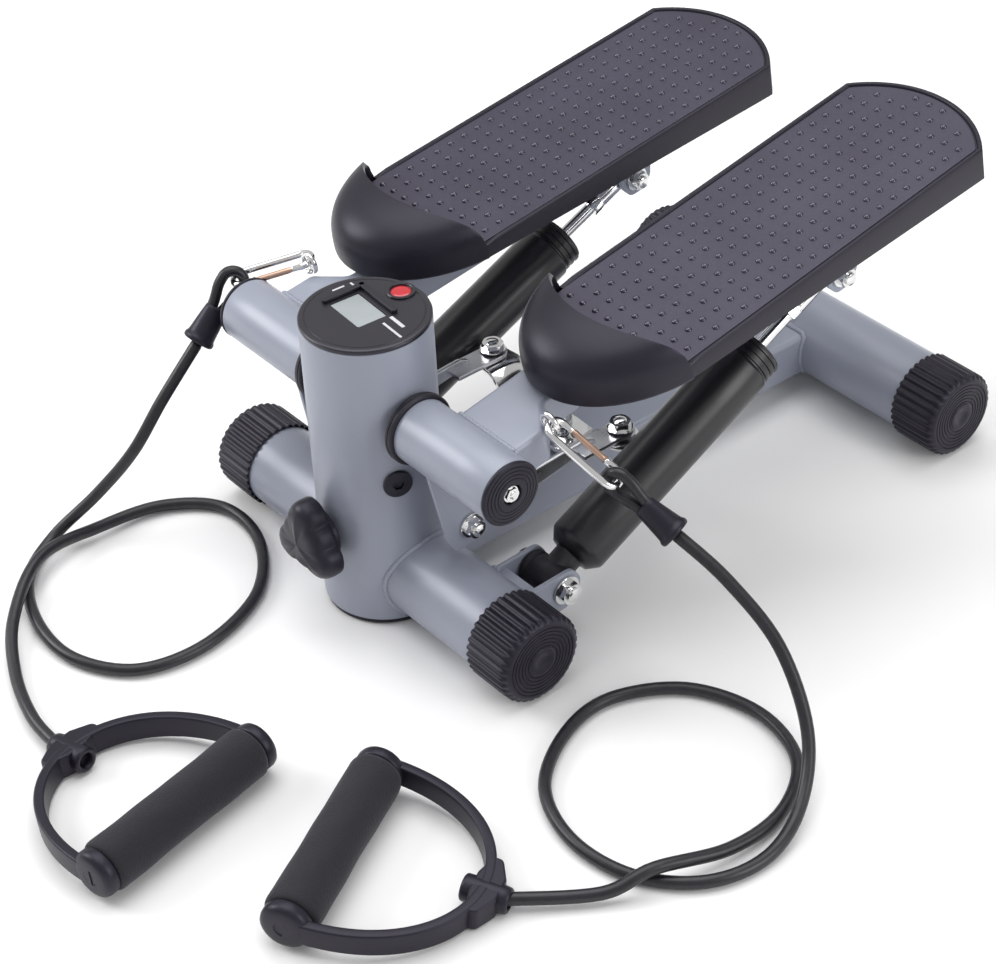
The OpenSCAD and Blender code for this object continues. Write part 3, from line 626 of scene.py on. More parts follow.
def make_post():
    shape = Shape()
    inner, top = POST_R - 2.5, POST_TOP
    shape.lathe([(inner, 3), (POST_R - 0.7, 3), (POST_R, 3.7), (POST_R, 60), (POST_R, 130),
        (POST_R, top - 0.8), (POST_R - 0.3, top - 0.2), (POST_R - 0.9, top), (inner, top),
        (inner, 3)], sides=128)
    for way in SIDES:
        boss = [(14, 0), (14, 8.2), (13.5, 8.9), (12.6, 9.3), (9.2, 9.3), (9.2, 0), (14, 0)]
        shape.lathe(boss, along_x(way * 30, 0, PIVOT_Z, way), sides=64)
    shape.make("post_tube", "frame", PAINT, "post")
    plug = Shape()
    plug.lathe([(0, 0.4), (30, 0.4), (31, 0), (36.4, 0), (37, 0.5), (37, 2.4), (36.5, 2.9),
        (0, 2.9)], sides=96)
    plug.make("post_base_plug", "frame", PLASTIC, "base_plug")


def make_welds():
    """Painted beads where the tubes of the frame meet."""
    shape = Shape()
    for way in SIDES:
        bar = [(BAR_Y["front"] + y, max(BAR_Z + z, 4)) for y, z in circle(BAR_R, 150)]
        bead(shape, [(way * sqrt(POST_R ** 2 - y * y), y, z) for y, z in bar], 1.9)
        bead(shape, [(way * sqrt(POST_R ** 2 - y * y), y, PIVOT_Z + z)
            for z, y in circle(14, 90)], 1.3)
    around = rounded_box(BEAM_SIDES, 4, 6)
    dense = []
    for p, q in zip(around, around[1:] + around[:1]):
        p, q = Vector(p), Vector(q)
        steps = max(1, int((q - p).length / 1.5))
        dense += [p + (q - p) * k / steps for k in range(steps)]
    bead(shape, [(x, sqrt(POST_R ** 2 - x * x), z) for x, z in dense], 1.9)
    bead(shape, [(x, BAR_Y["rear"] - sqrt(BAR_R ** 2 - (z - BAR_Z) ** 2), z) for x, z in dense],
        1.9)
    shape.make("frame_welds", "frame", PAINT, sharp=80)


# Inner edge of a foot cap to its outer face
FOOT_X = 107.7
FOOT_LEN = 34
FOOT_RIBS = 34


def foot_rib(angle, radius, height):
    """Rounded ribs along a foot cap, that run out into its ends."""
    if radius < 25.5:
        return radius
    wave = cos(FOOT_RIBS * angle)
    crest = max(-1.0, min(1.0, wave * 1.9)) * 0.5 + 0.5
    fade = min(1.0, max(0.0, (FOOT_LEN - height) / 3.0))
    return radius + 1.45 * crest * fade


def make_feet():
    end = FOOT_LEN
    profile = [(0, 9), (BAR_R + 0.2, 9), (BAR_R + 0.2, 0.5), (BAR_R + 0.45, 0),
        (BAR_R + 0.75, 0.3), (BAR_R + 0.85, 1.2), (26.85, 8), (26.85, 16), (26.85, 24),
        (26.8, 29), (26.6, 31), (26.1, 32.4), (25.2, 33.4), (24.2, 33.9), (23.6, 34)]
    for groove in range(6):
        r = 22.6 - groove * 2.3
        profile += [(r, end), (r - 0.25, end - 0.45), (r - 0.75, end - 0.45), (r - 1.0, end)]
    profile += [(9.2, end), (8.9, end + 0.5), (8.4, end + 0.6), (4.4, end + 0.6),
        (3.8, end + 0.1), (0, end + 0.1)]
    for way, side in SIDES.items():
        for which, y in BAR_Y.items():
            shape = Shape()
            shape.lathe(profile, along_x(way * FOOT_X, y, BAR_Z, way), sides=FOOT_RIBS * 8,
                ripple=foot_rib)
            for vert in shape.bm.verts:
                vert.co.z = max(vert.co.z, 0)
            foot = f"{side}_{which}_foot"
            shape.make(foot + "_cap", "frame", PLASTIC, foot, sharp=50)


DAMPER_X = 92


def make_damper_brackets():
    ear = rounded_outline([(22, 17), (22, 44), (41, 44.5), (56, 45), (62, 36), (60, 24),
        (50, 19)], [1, 1, 4, 7, 7, 6, 3], 4)
    for way, side in SIDES.items():
        shape = Shape()
        for x in (DAMPER_X - 18.5, DAMPER_X + 12):
            shape.prism(ear, 0, 3, along_x(way * x, 0, 0, way), chamfer=0.6, steps=2)
        saddle = rounded_box((DAMPER_X - 18, 18.5, DAMPER_X + 14.5, 41.5), 2)
        shape.loft([[(way * x, y, z) for x, z in saddle] for y in (24, 27, 31)])
        for x in (DAMPER_X - 17, DAMPER_X + 13.5):
            for lift in (18, 43):
                y = BAR_Y["front"] + sqrt(max(BAR_R ** 2 - (lift - BAR_Z) ** 2, 0))
                line = run((way * (x - 2.4), y + 0.5, lift), (way * 0.6, 0, 0), 9)
                bead(shape, line, 1.4, closed=False)
        shape.make(side + "_damper_bracket_plates", "frame", PAINT, side + "_damper_bracket")
    bolts = Shape()
    y, z = 50, 33
    for way in (RIGHT, LEFT):
        x = way * DAMPER_X
        bolts.lathe(box(0, -22, 5, 21), along_x(x, y, z, way), sides=32)
        hexagon(bolts, along_x(x - way * 18.7, y, z, -way), 8, 5.2)
        washer(bolts, along_x(x - way * 18.6, y, z, -way), 9.2, 1.2, 5)
        flange_nut(bolts, along_x(x + way * 15.2, y, z, way), 6.4, 7.6, 4.6, 2.2)
    bolts.make("damper_bracket_bolts", "frame", CHROME, "bracket_bolts")


def make_pivot():
    axle = Shape()
    axle.lathe([(0, -117), (7.4, -117), (8, -116.4), (8, 116.4), (7.4, 117), (0, 117)],
        along_x(0, 0, PIVOT_Z), sides=40)
    axle.make("pivot_axle_bar", "frame", ZINC, "pivot_axle")
    nuts = Shape()
    for way in (RIGHT, LEFT):
        washer(nuts, along_x(way * 117.1, 0, PIVOT_Z, way), 8.4, 1.2, 3)
        nuts.lathe(box(0, 0, 5, 6.2), along_x(way * 118, 0, PIVOT_Z, way))
        hexagon(nuts, along_x(way * 123.6, 0, PIVOT_Z, way), 4.6, 2.4)
    nuts.make("axle_lock_nuts", "frame", CHROME, "axle_nuts")


make_crossbars()
make_beam()
make_post()
make_welds()
make_feet()
make_damper_brackets()
make_pivot()


# --------------------------------------------------------------------------- display
def resampled(outline, n):
    """n points at equal angles round an outline that holds the origin."""
    made = []
    for angle in angles(n):
        ray, best = Vector((cos(angle), sin(angle))), 0
        for i, p in enumerate(outline):
            p, q = Vector(p), Vector(outline[(i + 1) % len(outline)])
            edge = q - p
            cross = ray.cross(edge)
            if abs(cross) > 1e-9 and -1e-6 <= p.cross(ray) / cross <= 1 + 1e-6:
                best = max(best, p.cross(edge) / cross)
        made.append(tuple(ray * best))
    return made


def make_display():
    n = 144
    lcd = at(-4.8, -1) @ spin(-4, "Z")
    levels = [(2.7, -11), (2.7, 0.1), (0.3, 0.1), (0, 0.4), (0, 1.6), (0.25, 2.2), (0.9, 2.65),
        (1.8, 2.8), (3.4, 2.8), (3.6, 2.55), (4.2, 2.55), (4.4, 2.8)]
    rings = [[(*p, z) for p in circle(POST_R - inset, n)] for inset, z in levels]
    window = resampled(rounded_box((-14.6, -9.6, 14.6, 9.6), 1.2, 3), n)
    rings += [[lcd @ Vector((*p, z)) for p in window] for z in (2.8, 1)]
    shape = Shape(at(z=POST_TOP))
    shape.loft(rings)
    button = at(-3.4, 28.1)
    shape.lathe([(6.5, 2), (8.6, 2), (8.6, 3.6), (8.2, 4), (7, 4), (6.5, 3.6), (6.5, 2)], button,
        sides=56)
    shape.make("display_case", "frame", GLOSS_PLASTIC, "display_housing")

    glass = Shape(at(z=POST_TOP))
    glass.prism(rounded_box((-14.4, -9.4, 14.4, 9.4), 1, 3), 1.1, 2.5, lcd, 0.15, 1)
    glass.make("display_glass", "frame", LCD, "lcd_panel")

    bezel = Shape(at(z=POST_TOP + 2.9) @ spin(-4, "Z"))
    for sides in ((-25, -13, -21.6, 15), (-25, 11.4, 11, 15)):
        bezel.prism(rounded_box(sides, 0.8, 3), -0.2, 2.3, chamfer=0.5)
    marks = Shape(at(z=POST_TOP + 2.75) @ spin(-4, "Z"))
    for sides in ((12.5, 8, 25.5, 10.2), (15, 1.65, 33, 3.15), (-31, 9.85, -25, 11.15),
                  (-31.05, -2, -29.75, 6)):
        marks.prism(rounded_box(sides, 0.3, 2), -0.05, 0.18)
    marks.make("display_marks", "frame", PRINT)
    bezel.make("display_guard", "frame", NYLON, "display_bezel")

    cap = Shape(at(z=POST_TOP) @ button)
    cap.lathe([(0, -7), (2.5, -7), (2.5, 2), (6.1, 2), (6.1, 2.6), (5.6, 3), (4.2, 3.25),
        (2.2, 3.4), (0, 3.45)])
    cap.make("reset_button", "button", RED, "red_button")


def make_sensor_plug():
    shape = Shape(at(z=103) @ spin(-19, "Z") @ at(POST_R) @ ALONG_X)
    rings = [[(*p, z) for p in circle(r, 48)] for r, z in ((6.6, -7.5), (6.9, -7), (6.9, 0.1),
        (8.5, 0.1), (8.75, 0.4), (8.75, 1.5), (8.3, 2.1), (7.6, 2.25), (6, 2), (5.2, 2.2))]
    socket = resampled(arc((0, 0), 3.5, 0, 300, 5), 48)
    shape.loft(rings + [[(*p, z) for p in socket] for z in (2.2, 0.6)])
    shape.make("post_sensor_plug", "frame", PLASTIC, "sensor_plug")


KNOB_Z = JOINTS["knob_turn"]["pos_m"][2] / MM


def knob_radius(angle):
    """Three broad lobes with flatter sides between them."""
    best = 18.6
    for lobe in (90, 210, 330):
        off = angle - radians(lobe)
        reach = 15 * sin(off)
        if abs(reach) < 11.5 and cos(off) > 0:
            best = max(best, 15 * cos(off) + sqrt(11.5 ** 2 - reach ** 2))
    return best


def make_knob():
    """Domed three-lobed knob; a shallow ridge runs out along each lobe of its face."""
    shape = Shape(at(0, -POST_R, KNOB_Z) @ spin(90, "X"))
    rings = []
    for height, size, lift in ((6.9, 0.86, 0), (7.3, 0.94, 0), (8.2, 0.985, 0), (9.5, 1, 0),
                               (13, 1.005, 0), (16, 1, 0), (18.2, 0.975, 0), (20, 0.93, 0.1),
                               (21.3, 0.87, 0.25), (22.3, 0.78, 0.5), (23, 0.66, 0.7),
                               (23.4, 0.5, 0.8), (23.7, 0.34, 0.7), (23.8, 0.18, 0.5),
                               (24, 0.05, 0)):
        ring = []
        for a in angles(144):
            radius = knob_radius(a) * size
            ridge = abs((degrees(a) + 30) % 120 - 60) / 60
            rise = lift * max(4 * ridge - 3, -0.4)
            ring.append((radius * cos(a), radius * sin(a), height + rise))
        rings.append(ring)
    shape.loft(rings)
    shape.lathe([(0, -11), (5, -11), (5, 2.5), (12, 3), (15.6, 3.4), (16, 4), (16, 6.4),
        (15, 7.2), (0, 7.2)], sides=56)
    shape.make("post_height_knob", "knob", PLASTIC, "height_knob", sharp=32)


make_display()
make_sensor_plug()
make_knob()


# ------------------------------------------------------------------------------ arms
SLEEVE_R = 19.5
SLEEVE_BORE = 16.5
SLEEVE_IN, SLEEVE_OUT = 44, 122.2
ARM_LOW, ARM_TOP = -14, 9
ARM_IN, ARM_OUT = 60, 91
LEVER_BOLT = (5.5, -69)
UPPER_BOLT = (272.5, -41.5)


def make_arm(side):
    body = arm_frame(side)
    shape = Shape(body, side)
    tube = rounded_outline([(ARM_IN, 12), (109, 12), (109, 39.5), (ARM_OUT, 54), (ARM_OUT, 301),
        (ARM_IN, 301)], [6, 6, 6, 6, 5, 5], 5)
    shape.prism(tube, ARM_LOW, ARM_TOP, chamfer=3, steps=5)
    sleeve = raised([(SLEEVE_BORE, 0), (SLEEVE_R - 0.6, 0), (SLEEVE_R, 0.6)], SLEEVE_IN)
    sleeve += [(SLEEVE_R, 60), (SLEEVE_R, 100)]
    sleeve += raised([(SLEEVE_R, -1.2), (SLEEVE_R - 0.35, -0.35), (SLEEVE_R - 1.2, 0),
        (SLEEVE_BORE + 0.7, 0), (SLEEVE_BORE, -0.7)], SLEEVE_OUT)
    shape.lathe(sleeve + sleeve[:1], ALONG_X, sides=96)
    lever = rounded_outline([(-13, -12), (-11.5, -70), (-9, -82), (18, -82), (20, -70),
        (20, -12)], [1, 10, 10, 10, 10, 1], 5)
    shape.prism(lever, 0, 3, at(59.2) @ ALONG_X, chamfer=0.6, steps=2)
    ear = rounded_outline([(256, ARM_LOW + 2), (290, ARM_LOW + 2), (285, -45), (279, -53),
        (267, -53), (261, -45)], [1, 1, 6, 6, 6, 6], 4)
    for x in (DAMPER_X - 10, DAMPER_X + 7):
        shape.prism(ear, 0, 3, at(x) @ ALONG_X, chamfer=0.6, steps=2)
    saddle = rounded_box((DAMPER_X - 10, 256, DAMPER_X + 10, 290), 1)
    shape.prism(saddle, ARM_LOW - 3, ARM_LOW + 1, chamfer=0.6, steps=2)
    shape.make("arm_tube", "arm", PAINT, "arm")

    weld = Shape(body, side)
    for w, inwards in ((ARM_TOP, -1), (ARM_LOW, 1)):
        u = sqrt(SLEEVE_R ** 2 - (w + 0.6 * inwards) ** 2) + 0.4
        bead(weld, run((61, u, w + 0.2 * inwards), (0.9, 0, 0), 53), 1.5, False)
    for x in (60.3, 108.7):
        heights = [ARM_LOW + 1 + k * 0.9 for k in range(24)]
        bead(weld, [(x, sqrt(SLEEVE_R ** 2 - w * w) + 0.3, w) for w in heights], 1.4, False)
    for x in (59.6, 61.9):
        bead(weld, run((x, 14.4, ARM_LOW + 0.2), (0, 0.9, 0), 4), 1.2, False)
    for x in (DAMPER_X - 10, DAMPER_X + 10):
        bead(weld, run((x, 257, ARM_LOW - 2.6), (0, 0.9, 0), 36), 1.2, False)
    weld.make("arm_welds", "arm", PAINT, sharp=80)

    bush = Shape(body, side)
    flange = [(8.1, 39.6), (19.6, 39.6), (21.2, 39.9), (21.8, 40.5), (22, 41.2), (22, 41.9),
        (21.5, 42.2), (21.5, 42.6), (22, 42.9), (22, 44.8), (21.6, 45.4), (20.9, 45.7),
        (19.6, 45.7), (19.6, 43.9), (16.4, 43.9), (16.4, 61), (8.1, 61), (8.1, 39.6)]
    bush.lathe(flange, ALONG_X, sides=80)
    bush.lathe([(8.1, 95), (16.4, 95), (16.4, 113), (8.1, 113), (8.1, 95)], ALONG_X, sides=64)
    bush.make("sleeve_bush_rings", "arm", NYLON, "sleeve_bushes")

    cap = Shape(body, side)
    domed = [(16.4, 0), (19, 0.05), (19.6, 0.6), (19.7, 1.4), (19.4, 2.1), (18.6, 2.6)]
    for r in (17.4, 15.2, 13, 10.8):
        high = 4 - (r / 16) ** 2 * 1.1
        domed += [(r, high), (r - 0.2, high - 0.3), (r - 0.6, high - 0.3), (r - 0.8, high + 0.1)]
    domed += [(6.6, 3.7), (6, 3.1), (6, 1.6), (8.95, 1.5)]
    plug = [(8.95, 114.2), (16.4, 114.2)]
    cap.lathe(plug + raised(domed, SLEEVE_OUT) + plug[:1], ALONG_X, sides=96)
    cap.make("sleeve_end_cap", "arm", PLASTIC, "sleeve_cap")

    upper = body @ Vector((DAMPER_X, *UPPER_BOLT))
    for name, place, shank, head, head_size, nut_size in (
            ("lever_bolt", body @ at(0, *LEVER_BOLT), (52, 66), (55.4, 62.3), 7, (6.6, 2.2)),
            ("upper_bolt", at(side * DAMPER_X, upper.y, upper.z), (-14, 14), (-10.2, 10.2), 6.8,
                (6.2, 2.4))):
        bolt = Shape(place, side)
        bolt.lathe(box(0, shank[0], 4, shank[1]), ALONG_X, sides=24)
        hexagon(bolt, along_x(head[0], 0, 0, -1), head_size, 4.4)
        flange_nut(bolt, at(head[1]) @ ALONG_X, nut_size[0], 6.4, 4, nut_size[1])
        bolt.make(name + "_set", "arm", CHROME, name)

    screws = Shape(body, side)
    for u in (150, 220, 290):
        place = at((ARM_IN + ARM_OUT) / 2, u, ARM_LOW)
        screws.lathe(box(0, 0, 3, 30), place, sides=24)
        washer(screws, place @ at(z=-0.9), 5.5, 0.9, 2.8)
        hexagon(screws, place @ at(z=-0.7) @ spin(180, "X"), 4.6, 2.0)
    screws.make("pedal_screw_set", "arm", ZINC, "pedal_screws")


# ---------------------------------------------------------------------------- pedals
PEDAL_X = 89.5
PEDAL_HALF = 55
PEDAL_FRONT = 118
PEDAL_ARC = 75
ARC_U = 302
TREAD = 20.2
STUD_PITCH = (10.8, 10.9)


def eased(v, low, high):
    t = min(max((v - low) / (high - low), 0), 1)
    return t * t * (3 - 2 * t)


def pedal_outline():
    """Square front corners, straight sides and one wide arc at the rear, anticlockwise."""
    corner = degrees(acos(PEDAL_HALF / PEDAL_ARC))
    rear = arc((PEDAL_X, ARC_U), PEDAL_ARC, corner, 180 - corner, 56)
    u_corner = rear[0][1]
    right = [(PEDAL_X + PEDAL_HALF, PEDAL_FRONT + (u_corner - PEDAL_FRONT) * k / 24)
        for k in range(24)]
    left = [(PEDAL_X - PEDAL_HALF, u_corner - (u_corner - PEDAL_FRONT) * k / 24)
        for k in range(1, 25)]
    front = [(PEDAL_X - PEDAL_HALF + 2 * PEDAL_HALF * k / 16, PEDAL_FRONT) for k in range(1, 16)]
    return right + rear + left + front


def skirt_low(u):
    """Height of the skirt's lower edge, which drops towards the rear."""
    share = (u - PEDAL_FRONT) / (350 - PEDAL_FRONT)
    return TREAD - 10 - 11 * min(max(share, 0), 1)


def make_pedal(side):
    shape = Shape(arm_frame(side), side)
    outline = pedal_outline()
    rings = [[(*p, TREAD - 4) for p in shrunk(outline, 3.2)]]
    for inset, lift in ((3, 0.7), (2.5, 0), (0.7, 0), (0.15, 0.3), (0, 1)):
        rings.append([(x, u, skirt_low(u) + lift) for x, u in shrunk(outline, inset)])
    for inset, rise in ((0, -3), (0, -0.2), (0.15, 0.45), (0.6, 0.88), (1.2, 1), (2, 1),
            (2.5, 0.8), (2.8, 0.25), (3.1, -0.5), (3.5, -0.5)):
        wall, lip = TREAD + min(rise, -0.7), max(rise + 0.7, 0)
        rings.append([(x, u, wall + lip * eased(u, PEDAL_FRONT + 3, PEDAL_FRONT + 8))
            for x, u in shrunk(outline, inset)])
    shape.loft(rings)
    tongue = [(x, u) for x, u in shrunk(outline, 3.9) if u > PEDAL_FRONT + 4]
    floor = [(51, PEDAL_FRONT + 0.1), (51, 108), (47, 97.2), (41.5, 84), (35, 76), (29, 70),
        (23.5, 66), (16, 62)]
    tongue += [(PEDAL_X - x, u) for x, u in floor]
    tongue += [(PEDAL_X + x, u) for x, u in reversed(floor)]
    tread = Shape(arm_frame(side), side)
    tread.prism(tongue, TREAD - 0.6, TREAD, chamfer=0.3, steps=2)
    step = [(-46.8, 97.3), (46.8, 97.3), (50.5, 108), (50.5, PEDAL_FRONT + 1),
        (-50.5, PEDAL_FRONT + 1), (-50.5, 108)]
    tread.prism([(PEDAL_X + x, u) for x, u in step], TREAD - 3.5, TREAD - 0.3)
    for u in (136, 206, 276):
        pad = rounded_box((ARM_IN + 1, u, ARM_OUT - 1, u + 28), 2)
        shape.prism(pad, ARM_TOP + 0.1, TREAD - 3.8)
    ribs = [box(PEDAL_X + x - 0.9, 122, PEDAL_X + x + 0.9, 350) for x in (-36, -18, 18, 36)]
    ribs += [box(PEDAL_X - 52.5, u - 0.9, PEDAL_X + 52.5, u + 0.9)
        for u in (178, 192, 248, 262, 318, 334)]
    for rib in ribs:
        shape.prism(rib, TREAD - 9.6, TREAD - 3.8)
    # Skirt, lip and ribs are black plastic and the tread is slate. The black lip round the tread
    # is partly painted shade, standing for the shadow line inside the rim.
    shape.make("pedal_shell", "arm", PLASTIC, "pedal", sharp=40)
    dome = [(0, -0.3), (2.15, -0.3), (2.1, 0.05), (1.95, 0.35), (1.75, 0.75), (1.35, 1.15),
        (0.8, 1.42), (0, 1.5)]
    studs = Shape(arm_frame(side), side)
    for column in range(9):
        x = PEDAL_X + (column - 4) * STUD_PITCH[0]
        for row in range(-2, 23):
            u = 127.2 + row * STUD_PITCH[1]
            beyond = Vector((x - PEDAL_X, max(u - ARC_U, 0))).length
            if beyond > PEDAL_ARC - 7:
                continue
            studs.lathe(dome, at(x, u, TREAD), sides=14)
    tread.make("tread", "arm", TREAD_PLASTIC, sharp=40)
    studs.make("tread_studs", "arm", STUD_PLASTIC, sharp=50)


CUP_U, CUP_W = 132.8, 15.3
CUP_RADII = (59, 77.4, 33)
CUP_LOW = 8.7
CUP_POWER = 0.62
CUP_BOW_R, CUP_BOW_U = 80, 172


def hood_point(turn, u):
    """The dome's skin at a turn round its long axis."""
    y = (u - CUP_U) / CUP_RADII[1]
    c, d = cos(turn), sin(turn)
    deep = CUP_RADII[2] if d > 0 else CUP_LOW
    near, far = 0.0, 1.5
    for _ in range(20):
        r = (near + far) / 2
        if ((r * c) ** 2 + y * y) ** (1 / CUP_POWER) + abs(r * d) ** (2 / CUP_POWER) < 1:
            near = r
        else:
            far = r
    return Vector((PEDAL_X + CUP_RADII[0] * near * c, u, CUP_W + deep * near * d))


def hood_rim(turn):
    """Where the dome ends: straight across below the tread, bowed forward above it."""
    u = PEDAL_FRONT - 0.3
    for _ in range(12):
        skin = hood_point(turn, u)
        bow = CUP_BOW_U - sqrt(CUP_BOW_R ** 2 - (skin.x - PEDAL_X) ** 2)
        share = eased(skin.z, TREAD - 1, TREAD + 5)
        u = (u + (PEDAL_FRONT - 0.3) * (1 - share) + min(bow, PEDAL_FRONT - 0.3) * share) / 2
    return u


def make_toe_cup(side):
    """A closed dome over the toes, open towards the tread and slotted for the arm."""
    around, steps = 160, 48
    shape = Shape(None, side)
    tip = CUP_U - CUP_RADII[1]
    turns = [(a, hood_rim(a)) for a in angles(around)]
    points = [(PEDAL_X, tip, CUP_W)]
    for i in range(1, steps + 1):
        share = 0.5 * (1 - cos(pi / 2 * i / steps)) + 0.5 * (i / steps) ** 1.5
        points += [hood_point(a, tip + (rim - tip) * share) for a, rim in turns]
    faces = []
    for j in range(around):
        k = (j + 1) % around
        faces.append((0, 1 + j, 1 + k))
        faces += [(i + j, i + around + j, i + around + k, i + k)
            for i in range(1, (steps - 1) * around, around)]
    shape.add(points, faces)
    bm = shape.bm
    for point, normal in (((ARM_IN - 0.6, 0, 0), (1, 0, 0)), ((ARM_OUT + 0.6, 0, 0), (1, 0, 0)),
                          ((0, 0, ARM_TOP + 1.2), (0, 0, 1))):
        bmesh.ops.bisect_plane(bm, geom=bm.verts[:] + bm.edges[:] + bm.faces[:], dist=1e-5,
            plane_co=point, plane_no=normal)
    middles = [(f, f.calc_center_median()) for f in bm.faces]
    slot = [f for f, m in middles
        if ARM_IN - 0.5 < m.x < ARM_OUT + 0.5 and m.z < ARM_TOP + 1.1]
    bmesh.ops.delete(bm, geom=slot, context="FACES")
    bmesh.ops.transform(bm, matrix=arm_frame(side), verts=bm.verts)
    piece = shape.make("toe_hood", "arm", PLASTIC, "toe_cup", sharp=60)
    shell = piece.modifiers.new("wall", "SOLIDIFY")
    shell.thickness = 3 * MM
    shell.offset = -1
    shell.use_even_offset = True
    lip = piece.modifiers.new("lip", "BEVEL")
    lip.width = 0.9 * MM
    lip.segments = 3
    lip.limit_method = "ANGLE"
    lip.angle_limit = radians(55)


# --------------------------------------------------------------------------- dampers
DAMPER_R = 18.5


def make_damper(side):
    name = SIDES[side]
    place = damper_frame(side)
    shape = Shape(place, side)
    eye = [(5.1, -14.9), (10.2, -14.9), (11, -14.1), (11, -10.8), (10.3, -10.2), (10.3, -9.4),
        (11, -8.8), (11, 10.9), (10.2, 11.7), (5.1, 11.7), (5.1, -14.9)]
    pivot = Vector(JOINTS[name + "_damper_pivot"]["pos_m"]) / MM
    shape.lathe([(0, 6), (9, 6), (9, 16.6), (9.6, 17.6), (13, 18.4), (17.2, 23.4), (18.2, 24.8),
        (DAMPER_R, 26.4), (DAMPER_R, 60), (DAMPER_R, 100), (DAMPER_R, 140), (DAMPER_R, 170.6),
        (18.1, 171.6), (17.2, 172.2), (16.6, 172.8), (16.6, 173.8), (17.5, 174.2), (17.5, 175.6),
        (16.6, 176.0), (16.6, 177.8), (17.5, 178.2), (17.5, 179.6), (16.6, 180.0), (16.6, 181.8),
        (17.5, 182.2), (17.5, 183.6), (16.6, 184.2), (16.3, 185.4), (15.2, 186), (6.2, 186),
        (5.8, 185.2), (4.1, 185.2), (4.1, 60), (0, 60)], sides=96)
    shape.make("damper_tube", "damper", SATIN_BLACK, "damper_body")
    rubber = Shape(at(*pivot) @ mirrored(side), side)
    rubber.lathe(eye, ALONG_X, sides=64)
    rubber.make("damper_foot_eye", "damper", RUBBER, sharp=50)

    upper = arm_frame(side) @ Vector((DAMPER_X, *UPPER_BOLT))
    reach = (Vector((upper.y, upper.z)) - Vector((pivot.y, pivot.z))).length
    rod = Shape(place, side)
    rod.lathe(box(0, 152, 3.9, reach - 9), sides=40)
    hexagon(rod, at(z=213), 6.4, 7.5, domed=False)
    rod.lathe([(0, 220), (5.2, 220), (5.6, 222), (5.6, reach - 9), (0, reach - 9)], sides=40)
    ring = [(6, -6.4), (9.4, -6.4), (10, -5.8), (10, 5.8), (9.4, 6.4), (6, 6.4), (6, -6.4)]
    rod.make("damper_chrome_rod", "rod", CHROME, "damper_rod")
    head = Shape(at(side * DAMPER_X, upper.y, upper.z), side)
    head.lathe(ring, ALONG_X, sides=48)
    head.make("damper_rod_eye", "rod", ZINC)


# ------------------------------------------------------------------- rocker and links
ROCKER_Y = 135
ROCKER_REACH = 58
ROCKER_END_Z = 74.5
ROCKER_LOW_Z = 50
ROCKER_T = 4
ROCKER_TURN = 1.6243


def rocker_height(x):
    """Top of the bent bar at a distance from its middle."""
    t = min(max((abs(x) - 18) / 29, 0), 1)
    t = t * t * (3 - 2 * t) * 0.35 + t * 0.65
    return ROCKER_LOW_Z + (ROCKER_END_Z - ROCKER_LOW_Z) * t


def make_rocker():
    turn = at(0, ROCKER_Y) @ spin(ROCKER_TURN, "Z")
    shape = Shape(turn)
    rings = []
    stations = [-69.6, -69, -68, -66, -64, -61, -58] + [-52 + k * 4 for k in range(27)]
    stations += [-x for x in reversed(stations[:7])]
    for x in stations:
        half = 16.5 - 4.5 * min(abs(x) / ROCKER_REACH, 1)
        if abs(x) > ROCKER_REACH:
            half = sqrt(max(12 ** 2 - (abs(x) - ROCKER_REACH) ** 2, 0.6))
        top, low = rocker_height(x), rocker_height(x) - ROCKER_T
        c = min(0.7, half * 0.4)
        rings.append([(x, -half, low + c), (x, -half + c, low), (x, 0, low), (x, half - c, low),
            (x, half, low + c), (x, half, top - c), (x, half - c, top), (x, 0, top),
            (x, -half + c, top), (x, -half, top - c)])
    shape.loft(rings)
    boss = [(5.1, -ROCKER_T), (10, -ROCKER_T), (10, 5.6), (9.4, 6.2), (5.1, 6.2),
        (5.1, -ROCKER_T)]
    shape.lathe(raised(boss, ROCKER_LOW_Z), sides=40)
    shape.make("rocker_bent_bar", "rocker", CHROME, "rocker_bar", sharp=50)
    bolts = Shape(turn)
    for x in (-ROCKER_REACH, ROCKER_REACH):
        place = at(x, 0, ROCKER_END_Z)
        bolts.lathe(box(0, -6, 4, 0.2), place, sides=24)
        bolts.lathe(box(0, 5.6, 4, 9.8), place, sides=24)
        hexagon(bolts, place @ at(z=-4.1) @ spin(180, "X"), 7, 4)
        washer(bolts, place @ at(z=5.4), 8.2, 0.9, 4)
        hexagon(bolts, place @ at(z=6.2), 7, 4.2, domed=False)
        thread(bolts, place @ at(z=10.2), 4, 1.4)
    bolts.make("rocker_end_bolts", "rocker", CHROME, "rocker_bolts")
    pin = Shape(at(0, ROCKER_Y, BEAM_SIDES[3]))
    pin.lathe([(0, 0), (14, 0), (14, 3.2), (13.4, 3.8), (5, 3.8), (5, 15), (0, 15)], sides=56)
    washer(pin, at(z=14.3), 10, 0.7, 5)
    hexagon(pin, at(z=15), 9, 5.8)
    pin.make("rocker_pivot_stud", "frame", ZINC, "rocker_post")


LINK_X = 55.8
TAB_Z = 75.7


